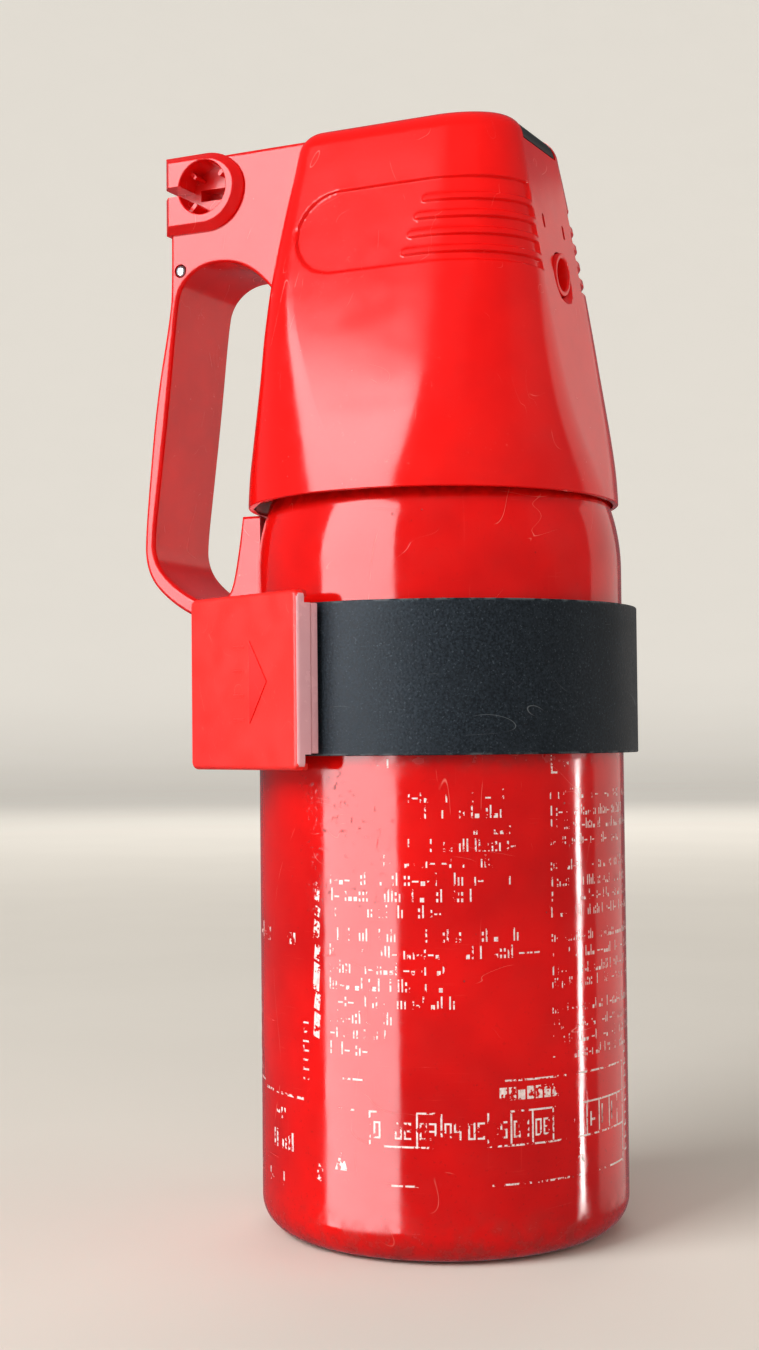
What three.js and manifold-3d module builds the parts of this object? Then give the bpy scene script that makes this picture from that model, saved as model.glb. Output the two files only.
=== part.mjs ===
// Portable 1 kg stored-pressure powder extinguisher in its quick-release strap bracket.
// Millimetres, +Z up, +X towards the nozzle, handle towards -X.
// Origin: centre of the cylinder base, on the cylinder axis.
import * as THREE from 'three';
import { mergeVertices } from 'three/addons/utils/BufferGeometryUtils.js';
import Module from 'manifold-3d';

const wasm = await Module();
wasm.setup();

// ---------------------------------------------------------------- driving dimensions
const SHELL_R = 45;            // outer radius of the pressure cylinder
const SHELL_WALL = 1.5;
const BASE_CORNER_R = 8;
const SHOULDER_Z = 160;        // cylinder wall ends, shoulder begins
const SHOULDER_H = 38;         // shoulder height up to the neck
const NECK_HOLE_R = 15;
const HOOD_RIM_Z = 175.9;
const HOOD_TOP_Z = 268.5;
const HOOD_WALL = 2.2;
const HOOD_EDGE_R = 5;
const FRONT_X_243 = 31.47;     // front face at z = 243
const FRONT_SLOPE = 0.169;
const NOZZLE_Z = 231;
const NOZZLE_BORE_R = 3.8;
const NOZZLE_RING_R = 5.2;
const BUTTON_HALF_W = 10.6;
const BUTTON_PIVOT = [22, 263.8];
const CHANNEL_HALF_W = 10.95;
const CHANNEL_FLOOR_Z = 262.5;
const HANDLE_HALF_W = 14.2;
const POCKET = [-57.7, 260.4];
const POCKET_R = 6.85;
const CROSS_PIN = [-66, 240.2];
const BRACKET_TURN = 24;       // bracket frame about +Z, degrees
const LATCH_TURN = -48.9;      // latch frame inside the bracket frame, degrees
const BAND_Z0 = 115, BAND_Z1 = 150.35;
const LEVER_PIVOT = [-24, -49];   // latch frame
const LINK_PIVOT = [-27.4, -49.2];
const LINK_BAR = [3.2, -49.0];
const GAP = 0.3;

// ---------------------------------------------------------------- helpers
const rad = (d) => (d * Math.PI) / 180;

function solid(geometry) {
  let g = geometry.clone();
  g.deleteAttribute('normal');
  g.deleteAttribute('uv');
  g = mergeVertices(g, 1e-4);
  const mesh = new wasm.Mesh({
    numProp: 3,
    vertProperties: new Float32Array(g.attributes.position.array),
    triVerts: new Uint32Array(g.index.array),
  });
  return new wasm.Manifold(mesh);
}

function geometryOf(m) {
  const mesh = m.getMesh();
  const g = new THREE.BufferGeometry();
  g.setAttribute('position', new THREE.BufferAttribute(new Float32Array(mesh.vertProperties), 3));
  g.setIndex(new THREE.BufferAttribute(new Uint32Array(mesh.triVerts), 1));
  g.computeVertexNormals();
  return g;
}

function boxG(x0, x1, y0, y1, z0, z1) {
  const g = new THREE.BoxGeometry(x1 - x0, y1 - y0, z1 - z0);
  g.translate((x0 + x1) / 2, (y0 + y1) / 2, (z0 + z1) / 2);
  return g;
}
const box = (...a) => solid(boxG(...a));

// cylinder between two heights on Z, on X or on Y
function cyl(axis, r, a, b, c0 = 0, c1 = 0, n = 28) {
  const g = new THREE.CylinderGeometry(r, r, b - a, n);
  if (axis === 'z') { g.rotateX(Math.PI / 2); g.translate(c0, c1, (a + b) / 2); }
  if (axis === 'y') { g.translate(c0, (a + b) / 2, c1); }
  if (axis === 'x') { g.rotateZ(Math.PI / 2); g.translate((a + b) / 2, c0, c1); }
  return solid(g);
}

// closed profile of [r, z] turned about Z
function lathe(points, n = 48) {
  const g = new THREE.LatheGeometry(points.map(([r, z]) => new THREE.Vector2(r, z)), n);
  g.rotateX(Math.PI / 2);
  return g;
}
function latheSolid(points, n = 48) {
  let m = solid(lathe(points, n));
  if (m.volume() < 0) {
    const g = lathe([...points].reverse(), n);
    m = solid(g);
  }
  return m;
}

// outline of [x, z] extruded along Y from y0 to y1
function extrudeY(points, y0, y1, options = {}) {
  const s = new THREE.Shape(points.map(([x, z]) => new THREE.Vector2(x, z)));
  const g = new THREE.ExtrudeGeometry(s, { depth: y1 - y0, bevelEnabled: false, curveSegments: 12, ...options });
  g.rotateX(Math.PI / 2);      // depth now runs along -Y
  g.translate(0, y1, 0);
  return g;
}
// outline of [x, y] extruded along Z
function extrudeZ(points, z0, z1, holes = []) {
  const s = new THREE.Shape(points.map(([x, y]) => new THREE.Vector2(x, y)));
  for (const h of holes) s.holes.push(new THREE.Path(h.map(([x, y]) => new THREE.Vector2(x, y))));
  const g = new THREE.ExtrudeGeometry(s, { depth: z1 - z0, bevelEnabled: false });
  g.translate(0, 0, z0);
  return g;
}
// strip of constant thickness along a centre line of [x, y]
function stripOutline(line, t) {
  const left = [], right = [];
  for (let i = 0; i < line.length; i++) {
    const a = line[Math.max(0, i - 1)], b = line[Math.min(line.length - 1, i + 1)];
    const dx = b[0] - a[0], dy = b[1] - a[1], l = Math.hypot(dx, dy);
    left.push([line[i][0] - (dy / l) * t / 2, line[i][1] + (dx / l) * t / 2]);
    right.push([line[i][0] + (dy / l) * t / 2, line[i][1] - (dx / l) * t / 2]);
  }
  return [...left, ...right.reverse()];
}

// skin through rings of points, capped at both ends
function loft(rings) {
  const n = rings[0].length, pos = [], idx = [];
  for (const r of rings) for (const p of r) pos.push(...p);
  for (let k = 0; k + 1 < rings.length; k++) {
    for (let i = 0; i < n; i++) {
      const a = k * n + i, b = k * n + ((i + 1) % n), c = a + n, d = b + n;
      idx.push(a, b, d, a, d, c);
    }
  }
  for (const [k, flip] of [[0, true], [rings.length - 1, false]]) {
    const c = pos.length / 3;
    let x = 0, y = 0, z = 0;
    for (const p of rings[k]) { x += p[0] / n; y += p[1] / n; z += p[2] / n; }
    pos.push(x, y, z);
    for (let i = 0; i < n; i++) {
      const a = k * n + i, b = k * n + ((i + 1) % n);
      if (flip) idx.push(c, b, a); else idx.push(c, a, b);
    }
  }
  const g = new THREE.BufferGeometry();
  g.setAttribute('position', new THREE.BufferAttribute(new Float32Array(pos), 3));
  g.setIndex(idx);
  return g;
}

const objects = [];
function piece(parent, name, shape, colour, roughness, metalness) {
  const g = shape instanceof THREE.BufferGeometry ? shape : geometryOf(shape);
  const m = new THREE.Mesh(g, new THREE.MeshStandardMaterial({ color: colour, roughness, metalness }));
  m.name = name;
  parent.add(m);
  objects.push(m);
  return m;
}

const RED_PAINT = [0xd2201c, 0.28, 0.0], RED_PLASTIC = [0xe3211b, 0.3, 0.0];
const BLACK_PLASTIC = [0x1b1c1c, 0.42, 0.0], YELLOW = [0xe8c21a, 0.4, 0.0];
const STEEL = [0xa9adb0, 0.35, 1.0], ZINC = [0x8d9194, 0.45, 1.0], BRASS = [0xb99a52, 0.35, 1.0];
const BAND = [0x252c33, 0.6, 0.3], RUBBER = [0x1a1a1a, 0.85, 0.0], NATURAL = [0xd9d8cf, 0.5, 0.0];

const extinguisher = new THREE.Group();

// ---------------------------------------------------------------- pressure cylinder
{
  const out = [[0, 0], [12, 0], [13.5, 1.2], [22.5, 1.2], [24, 0], [SHELL_R - BASE_CORNER_R, 0]];
  for (let i = 1; i <= 5; i++) {
    const a = rad(18 * i);
    out.push([SHELL_R - BASE_CORNER_R + BASE_CORNER_R * Math.sin(a), BASE_CORNER_R - BASE_CORNER_R * Math.cos(a)]);
  }
  out.push([SHELL_R, SHOULDER_Z]);
  const dome = (z, off) => {
    const q = Math.max(0, 1 - ((z - SHOULDER_Z) / (SHOULDER_H - off)) ** 2);
    return NECK_HOLE_R + (SHELL_R - NECK_HOLE_R - off) * Math.sqrt(q);
  };
  const zs = [166, 172, 178, 184, 190, 195, 197.2];
  for (const z of zs) out.push([dome(z, 0), z]);
  out.push([NECK_HOLE_R + 0.6, 198], [NECK_HOLE_R, 198]);
  const inn = [];
  inn.push([NECK_HOLE_R, 196.4]);
  for (const z of [194.6, 190, 182, 171]) inn.push([dome(z, SHELL_WALL), z]);
  inn.push([SHELL_R - SHELL_WALL, SHOULDER_Z], [SHELL_R - SHELL_WALL, BASE_CORNER_R]);
  for (let i = 2; i >= 0; i--) {
    const a = rad(30 * i), r = BASE_CORNER_R - SHELL_WALL;
    inn.push([SHELL_R - BASE_CORNER_R + r * Math.sin(a), BASE_CORNER_R - r * Math.cos(a)]);
  }
  inn.push([25.2, 2.7], [0, 2.7]);
  piece(extinguisher, 'cylinder_shell', latheSolid([...out, ...inn], 48), ...RED_PAINT);
}
// threaded neck boss welded into the shell
piece(extinguisher, 'neck_boss', latheSolid([[10.9, 193.5], [14.6, 193.5], [14.6, 198.4], [17.6, 198.4], [17.6, 202],
  [15.6, 208], [10.9, 208], [10.9, 193.5]], 28), ...RED_PAINT);
// powder charge lying in the lower part of the cylinder
piece(extinguisher, 'powder_charge', latheSolid([[4.2, 3.3], [36.6, 3.3], [41, 5], [43.1, 10], [43.1, 152], [30, 154], [4.2, 155], [4.2, 3.3]], 24),
  0xe9e6da, 0.95, 0.0);

// ---------------------------------------------------------------- valve
{
  let body = latheSolid([[0, 188], [10.5, 188], [10.5, 210.2], [15.2, 210.2], [15.2, 213.0], [9.4, 213.0], [9.4, 245.2], [0, 245.2]], 24);
  body = body.add(cyl('x', 6.2, 0, 26, 0, NOZZLE_Z, 24));
  body = body.subtract(cyl('z', 7.0, 187, 204, 0, 0, 28));
  body = body.subtract(cyl('z', 3.2, 200, 247, 0, 0, 20));
  body = body.subtract(cyl('x', 2.6, 0, 27, 0, NOZZLE_Z, 20));
  piece(extinguisher, 'valve_body', body, ...BRASS);
}
piece(extinguisher, 'neck_seal', latheSolid([[10.9, 208.3], [14.6, 208.3], [14.6, 209.9], [10.9, 209.9], [10.9, 208.3]], 24), ...RUBBER);
{
  let nut = solid(extrudeZ([0, 1, 2, 3, 4, 5].map((i) => [7.6 * Math.cos(rad(60 * i)), 7.6 * Math.sin(rad(60 * i))]), 245.5, 249.6));
  nut = nut.subtract(cyl('z', 3.2, 244, 251, 0, 0, 20));
  piece(extinguisher, 'gland_nut', nut, ...BRASS);
}
piece(extinguisher, 'valve_stem', latheSolid([[0, 198.2], [5.2, 198.2], [5.2, 200.0], [2.85, 200.0], [2.85, 253.6], [3.8, 253.6],
  [3.8, 254.4], [3.2, 255], [0, 255]], 18), ...STEEL);
piece(extinguisher, 'stem_seal', latheSolid([[3.15, 200.3], [5.8, 200.3], [5.8, 203.7], [3.15, 203.7], [3.15, 200.3]], 18), ...RUBBER);
piece(extinguisher, 'dip_tube_adapter', latheSolid([[2.6, 178], [3.9, 178], [3.9, 184.5], [6.7, 185], [6.7, 189.9], [2.6, 189.9], [2.6, 178]], 16), ...NATURAL);
piece(extinguisher, 'dip_tube', latheSolid([[2.6, 9], [3.7, 9], [3.7, 177.7], [2.6, 177.7], [2.6, 9]], 14), ...NATURAL);
{
  // return spring under the stem flange
  class Helix extends THREE.Curve {
    getPoint(t, target = new THREE.Vector3()) {
      const turns = 3.5, a = turns * 2 * Math.PI * t;
      return target.set(4.1 * Math.cos(a), 4.1 * Math.sin(a), 190.85 + 6.5 * t);
    }
  }
  const s = new THREE.Shape();
  s.absarc(0, 0, 0.5, 0, 2 * Math.PI, false);
  const g = new THREE.ExtrudeGeometry(s, { steps: 42, curveSegments: 3, extrudePath: new Helix(), bevelEnabled: false });
  piece(extinguisher, 'valve_spring', solid(g), ...STEEL);
}
{
  // sheet plate that carries the hood on the valve
  let p = solid(extrudeZ([[-30, -18], [-24, -25], [24, -25], [31, -18], [31, 18], [24, 25], [-24, 25], [-30, 18]], 213.4, 214.9));
  p = p.subtract(cyl('z', 9.8, 212, 216, 0, 0, 28));
  piece(extinguisher, 'hood_support_plate', p, ...ZINC);
}

// ---------------------------------------------------------------- hood
function interp(table, z) {
  if (z <= table[0][0]) return table[0].slice(1);
  for (let i = 0; i + 1 < table.length; i++) {
    const [a, b] = [table[i], table[i + 1]];
    if (z <= b[0]) {
      const t = (z - a[0]) / (b[0] - a[0]);
      return a.slice(1).map((v, k) => v + (b[k + 1] - v) * t);
    }
  }
  return table[table.length - 1].slice(1);
}
//            z      front  rear   halfY  flatY  centreX rearCorner
const HOOD = [
  [165.0, 44.6, 47.2, 46.2, 0.8, 0.5, 45.0],
  [175.9, 44.2, 46.7, 46.0, 0.8, 0.5, 44.0],
  [190.0, 41.2, 41.9, 43.9, 7.5, 5.0, 33.0],
  [207.0, 37.6, 36.6, 39.6, 11.5, 8.5, 20.0],
  [218.0, 35.7, 34.4, 36.8, 12.5, 9.0, 14.0],
  [230.0, 33.67, 32.5, 33.7, 13.0, 9.0, 10.0],
  [250.0, 30.29, 29.6, 28.3, 12.3, 9.0, 7.0],
  [263.5, 28.0, 27.7, 24.7, 10.9, 9.0, 6.0],
  [268.5, 27.2, 27.0, 23.3, 10.9, 9.0, 6.0],
];
function hoodRing(z, off, zs = z) {
  let [xf, xr, hy, yf, xc, rr] = interp(HOOD, z);
  xf -= off; xr -= off; hy -= off;
  rr = Math.max(1.2, rr - off);
  yf = Math.min(yf, hy - 1);
  const half = [[xf, 0], [xf, -yf * 0.5]];
  for (let i = 0; i <= 6; i++) {
    const a = rad(90 * i / 6);
    half.push([xc + (xf - xc) * Math.cos(a), -(yf + (hy - yf) * Math.sin(a))]);
  }
  half.push([(xc - (xr - rr)) / 2, -hy]);
  for (let i = 0; i <= 4; i++) {
    const a = rad(90 * i / 4);
    half.push([-(xr - rr) - rr * Math.sin(a), -(hy - rr) - rr * Math.cos(a)]);
  }
  half.push([-xr, -(hy - rr) * 0.5], [-xr, 0]);
  const other = half.slice(1, -1).reverse().map(([x, y]) => [x, -y]);
  // anticlockwise seen from above
  return [...half, ...other].reverse().map(([x, y]) => [x, y, zs]);
}
function hoodSolid(off, z0, z1, edge = HOOD_EDGE_R) {
  const rings = [];
  const top = z1 - edge;
  const zs = [z0, ...HOOD.map((r) => r[0]).filter((z) => z > z0 + 1 && z < top - 1), top];
  for (const z of zs) rings.push(hoodRing(z, off));
  for (const a of [30, 60, 90]) {
    const z = top + edge * Math.sin(rad(a));
    rings.push(hoodRing(z, off + edge * (1 - Math.cos(rad(a))), z));
  }
  return solid(loft(rings));
}
const stadium = (x0, x1, zc, r) => {
  const p = [];
  const n = r > 2 ? 8 : 4;
  for (let i = 0; i <= n; i++) { const a = rad(90 + (180 / n) * i); p.push([x0 + r + r * Math.cos(a), zc + r * Math.sin(a)]); }
  p.push([x1, zc - r], [x1, zc + r]);
  return p;
};
{
  let hood = hoodSolid(0, HOOD_RIM_Z, HOOD_TOP_Z);
  // hollow, thinner towards the rim where it slips over the shoulder
  const inner = [];
  for (const z of [174, 177, 183, 190, 207, 218, 230, 250, 265.8]) {
    const w = z <= 177 ? 1.25 : z <= 183 ? 1.6 : HOOD_WALL;
    inner.push(hoodRing(Math.max(z, HOOD_RIM_Z), w, z));
  }
  hood = hood.subtract(solid(loft(inner)));
  // recessed grip panels with four ribs, one on each side
  const skin = hoodSolid(-2, 190, 266, 2).subtract(hoodSolid(0.8, 188, 268));
  const panel = solid(extrudeY(stadium(-23, 45, 240.1, 10.5), -60, 60));
  let cut = skin.intersect(panel).subtract(box(-60, 60, -13.0, 13.0, 180, 280));
  const ribZ = [245.7, 241.3, 236.9, 232.5], ribX = [9.5, 8.0, 6.8, 5.6];
  for (let i = 0; i < 4; i++) {
    cut = cut.subtract(solid(extrudeY(stadium(ribX[i], 50, ribZ[i], 0.85), -60, 60)));
  }
  hood = hood.subtract(cut);
  // channel for the operating button and the safety tab
  hood = hood.subtract(box(-25.2, 45, -CHANNEL_HALF_W, CHANNEL_HALF_W, CHANNEL_FLOOR_Z, 275));
  // nozzle opening and the two small slots above it
  hood = hood.subtract(cyl('x', NOZZLE_RING_R + 0.35, 20, 45, 0, NOZZLE_Z, 28));
  for (const s of [-1, 1]) hood = hood.subtract(box(24, 45, s * 6.7 - 0.65, s * 6.7 + 0.65, 241.2, 244.8));
  // screw holes to the handle, bores for the button pin
  for (const z of [243.5, 254.5]) hood = hood.subtract(cyl('x', 1.75, -40, -15, 0, z, 16));
  const ears = cyl('y', 1.55, -13.4, 13.4, BUTTON_PIVOT[0], BUTTON_PIVOT[1], 16);
  const earBlocks = box(19.4, 24.6, -14.6, -CHANNEL_HALF_W, 261, 266.5).add(box(19.4, 24.6, CHANNEL_HALF_W, 14.6, 261, 266.5));
  hood = hood.add(earBlocks).subtract(ears);
  piece(extinguisher, 'hood_shell', hood, ...RED_PLASTIC);
}
{
  let n = cyl('x', NOZZLE_RING_R, 26.4, 33.9, 0, NOZZLE_Z, 28);
  n = n.subtract(cyl('x', NOZZLE_BORE_R, 28.2, 36, 0, NOZZLE_Z, 24)).subtract(cyl('x', 2.6, 20, 36, 0, NOZZLE_Z, 20));
  piece(extinguisher, 'nozzle_insert', n, ...RED_PLASTIC);
}

// ---------------------------------------------------------------- handle frame
{
  const outline = [
    [-20, 268.9], [-66, 268.9], [-68.2, 268.0], [-69, 265.6], [-69, 236], [-69.7, 228.5], [-73.8, 207.9], [-76.2, 186], [-77.6, 170.8],
    [-77.4, 165.4], [-75.7, 160.6], [-72.2, 156.6], [-66.5, 152.4], [-60, 149.4], [-54, 148.4], [-38, 148.4],
    [-38, 175.5], [-48.4, 175.5], [-49.6, 167], [-51.2, 158.6], [-52.6, 155.6], [-55.2, 153.9], [-58.8, 153.9], [-63, 155.4], [-68, 158.5],
    [-72.2, 162.4], [-74.2, 166.2], [-74.8, 170.7], [-72.6, 187.5], [-70, 207.6], [-67.4, 231.8], [-66, 236], [-63.2, 239], [-59.6, 240.8],
    [-55.6, 241.4], [-50.6, 240.9], [-46.2, 239], [-42.4, 236], [-39, 232.4], [-35.6, 227.2], [-20, 227.2],
  ];
  let h = solid(extrudeY(outline, -HANDLE_HALF_W, HANDLE_HALF_W));
  // D-shaped boss with chamfered walls on one side
  const d = [[-69.7, POCKET[1] + 9.3]];
  for (let i = 0; i <= 12; i++) { const a = rad(90 - 15 * i); d.push([POCKET[0] + 10.9 * Math.cos(a), POCKET[1] + (a > 0 ? 9.3 : 10.9) * Math.sin(a)]); }
  d.push([-69.7, POCKET[1] - 10.9]);
  h = h.add(solid(extrudeY(d.reverse(), -14.8, -9, { bevelEnabled: true, bevelThickness: 2.4, bevelSize: 2.0, bevelOffset: -2.0, bevelSegments: 1 })));
  h = h.subtract(cyl('y', POCKET_R, -20, -9.2, POCKET[0], POCKET[1], 32));
  // four short ribs in the pocket wall
  for (const a of [45, 135, 225, 315]) {
    const g = new THREE.BoxGeometry(1.9, 5.2, 0.9);
    g.translate(POCKET_R - 0.75, 0, 0);
    g.rotateY(-rad(a));
    g.translate(POCKET[0], -11.7, POCKET[1]);
    h = h.add(solid(g));
  }
  h = h.subtract(box(-75, POCKET[0] - 4, -20, -9.2, POCKET[1] - 1.6, POCKET[1] + 1.0));
  h = h.subtract(box(-62.6, -52.8, -10, -4.4, POCKET[1] - 1.5, POCKET[1] + 1.5));
  // seats against the hood and the cylinder
  h = h.subtract(hoodSolid(-0.35, 150, 272, 3).intersect(box(-60, 60, -60, 60, 175.7, 280)));
  h = h.subtract(cyl('z', SHELL_R + 0.35, 140, 180, 0, 0, 72));
  // bores
  h = h.subtract(cyl('y', 1.8, -20, 20, CROSS_PIN[0], CROSS_PIN[1], 20));
  for (const z of [243.5, 254.5]) h = h.subtract(cyl('x', 1.75, -44, -15, 0, z, 16));
  piece(extinguisher, 'handle_frame', h, ...RED_PLASTIC);
}
piece(extinguisher, 'handle_cross_pin', cyl('y', 1.5, -14.5, 14.5, CROSS_PIN[0], CROSS_PIN[1], 20), ...STEEL);
for (const [name, z, x1] of [['handle_screw_lower', 243.5, -41.5], ['handle_screw_upper', 254.5, -43]]) {
  piece(extinguisher, name, cyl('x', 2.9, -25.4, -23.2, 0, z, 18).add(cyl('x', 1.4, x1, -24, 0, z, 14)), ...ZINC);
}

// ---------------------------------------------------------------- operating button and safety tab
{
  const outline = [
    [-14.4, 267.2], [-13.6, 268.0], [19, 268.2], [23.4, 268.0], [25.6, 267.2], [27.0, 265.8], [27.7, 264.3], [27.95, 262.9],
    [25.6, 262.9], [25.4, 261.0], [24.2, 260.3], [20.2, 260.3], [19.0, 261.4], [18.4, 265.4], [3.4, 265.4], [3.0, 255.35], [-3.0, 255.35],
    [-3.4, 265.4], [-12.4, 265.4], [-12.4, 262.6], [-14.4, 262.6],
  ];
  let b = solid(extrudeY([...outline].reverse(), -BUTTON_HALF_W, BUTTON_HALF_W));
  // press rib is narrower than the button
  b = b.subtract(box(-3.6, 3.6, -12, -4.5, 250, 265.3)).subtract(box(-3.6, 3.6, 4.5, 12, 250, 265.3));
  b = b.subtract(cyl('y', 1.55, -15, 15, BUTTON_PIVOT[0], BUTTON_PIVOT[1], 18));
  piece(extinguisher, 'operating_button', b, ...BLACK_PLASTIC);
}
piece(extinguisher, 'button_pivot_pin', cyl('y', 1.25, -13.1, 13.1, BUTTON_PIVOT[0], BUTTON_PIVOT[1], 18), ...STEEL);
{
  const t = [[-24.6, 262.8], [-15.6, 262.8], [-15.6, 266.6], [-16.4, 267.6], [-23.8, 267.6], [-24.6, 266.6]];
  let s = solid(extrudeY(t, -9.6, 9.6));
  s = s.add(box(-22.4, -19.9, -6.5, 6.5, 253.5, 263.5));
  for (const x of [-22.3, -20.1, -17.9]) s = s.add(box(x - 0.4, x + 0.4, -7.6, 7.6, 267.0, 268.1));
  piece(extinguisher, 'safety_tab', s, ...YELLOW);
}

// ---------------------------------------------------------------- bracket
const bracket = new THREE.Group();
bracket.rotation.z = rad(BRACKET_TURN);
extinguisher.add(bracket);
{
  // back plate with two forward ears, extruded along Z, and a taller mounting plate joined to it
  const u = [[-42.6, 34], [-41.0, 34], [-41.0, 46.8], [41.0, 46.8], [41.0, 34], [42.6, 34], [42.6, 48.8], [-42.6, 48.8]];
  let p = solid(extrudeZ(u, 117, 148));
  p = p.add(box(-27, 27, 46.8, 48.8, 84, 171));
  for (const [x, z] of [[-19, 92], [19, 92], [-19, 163], [19, 163]]) p = p.subtract(cyl('y', 2.75, 44, 52, x, z, 20));
  for (const z of [124, 141]) {
    p = p.subtract(cyl('x', 2.6, 38, 46, 40.5, z, 16));
    p = p.subtract(cyl('x', 1.9, -46, -38, 41.5, z, 16));
  }
  piece(bracket, 'bracket_plate', p, ...BAND);
}
{
  let s = box(-24, 24, 36, 46.4, 119, 146);
  s = s.subtract(cyl('z', SHELL_R + 0.35, 110, 160, 0, 0, 72));
  piece(bracket, 'saddle_pad', s, ...RUBBER);
}
const polar = (r, a) => [r * Math.cos(rad(a)), r * Math.sin(rad(a))];
const bandLine = [];
for (let i = 0; i <= 26; i++) {
  const a = -137.2 + (137.2 / 26) * i;
  const k = Math.min(1, Math.max(0, (a + 80) / 80)), s = k * k * (3 - 2 * k);
  bandLine.push(polar(47.1 + 1.0 * s, a));
}
bandLine.push([48.0, 7], [47.1, 18], [45.6, 28], [44.1, 35], [43.65, 38.5], [43.6, 45]);
{
  let b = solid(extrudeZ(stripOutline(bandLine, 1.0), BAND_Z0, BAND_Z1));
  // turned-out tab that the draw link pulls on
  const g = boxG(-0.5, 0.5, -1.6, 0.2, 124.5, 140.5);
  g.translate(1.05, -47.2, 0);
  g.rotateZ(rad(LATCH_TURN));
  b = b.add(solid(g));
  for (const z of [124, 141]) b = b.subtract(cyl('x', 1.8, 40, 47, 40.5, z, 16));
  piece(bracket, 'clamp_band', b, ...BAND);
}
{
  const line = [];
  for (let i = 0; i <= 22; i++) line.push(polar(45.85, -136 + (126 / 22) * i));
  piece(bracket, 'band_liner', solid(extrudeZ(stripOutline(line, 0.85), BAND_Z0 + 1.2, BAND_Z1 - 1.2)), ...RUBBER);
}
for (const [name, z] of [['band_rivet_lower', 124], ['band_rivet_upper', 141]]) {
  piece(bracket, name, cyl('x', 3.0, 44.45, 45.8, 40.5, z, 18).add(cyl('x', 1.45, 41.6, 45, 40.5, z, 14)), ...ZINC);
}
{
  const line = [[-43.9, 47], [-43.9, 38], [-44.9, 31], [-46.6, 20], [-47.3, 9], [-47.25, 2], [-46.8, -4.2], [-46.9, -7.6]];
  let arm = solid(extrudeZ(stripOutline(line, 1.5), 117.2, 146.4));
  const tongue = [[-46.9, -5.8], [-48.2, -9.6], [-51.4, -12.9]];
  arm = arm.add(solid(extrudeZ(stripOutline(tongue, 1.5), 127.2, 137.8)));
  // rolled eye round the lever pin
  const [hx, hy] = [LEVER_PIVOT[0] * Math.cos(rad(LATCH_TURN)) - LEVER_PIVOT[1] * Math.sin(rad(LATCH_TURN)),
    LEVER_PIVOT[0] * Math.sin(rad(LATCH_TURN)) + LEVER_PIVOT[1] * Math.cos(rad(LATCH_TURN))];
  arm = arm.add(cyl('z', 2.4, 127.2, 137.8, hx, hy, 22)).subtract(cyl('z', 1.55, 120, 145, hx, hy, 18));
  for (const z of [124, 141]) arm = arm.subtract(cyl('x', 1.9, -47, -42, 41.5, z, 16));
  piece(bracket, 'latch_arm', arm, ...BAND);
}
for (const [name, z] of [['arm_rivet_lower', 124], ['arm_rivet_upper', 141]]) {
  piece(bracket, name, cyl('x', 3.0, -46.2, -44.95, 41.5, z, 18).add(cyl('x', 1.55, -45.2, -40.4, 41.5, z, 14))
    .add(cyl('x', 2.7, -40.7, -39.6, 41.5, z, 18)), ...ZINC);
}

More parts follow.
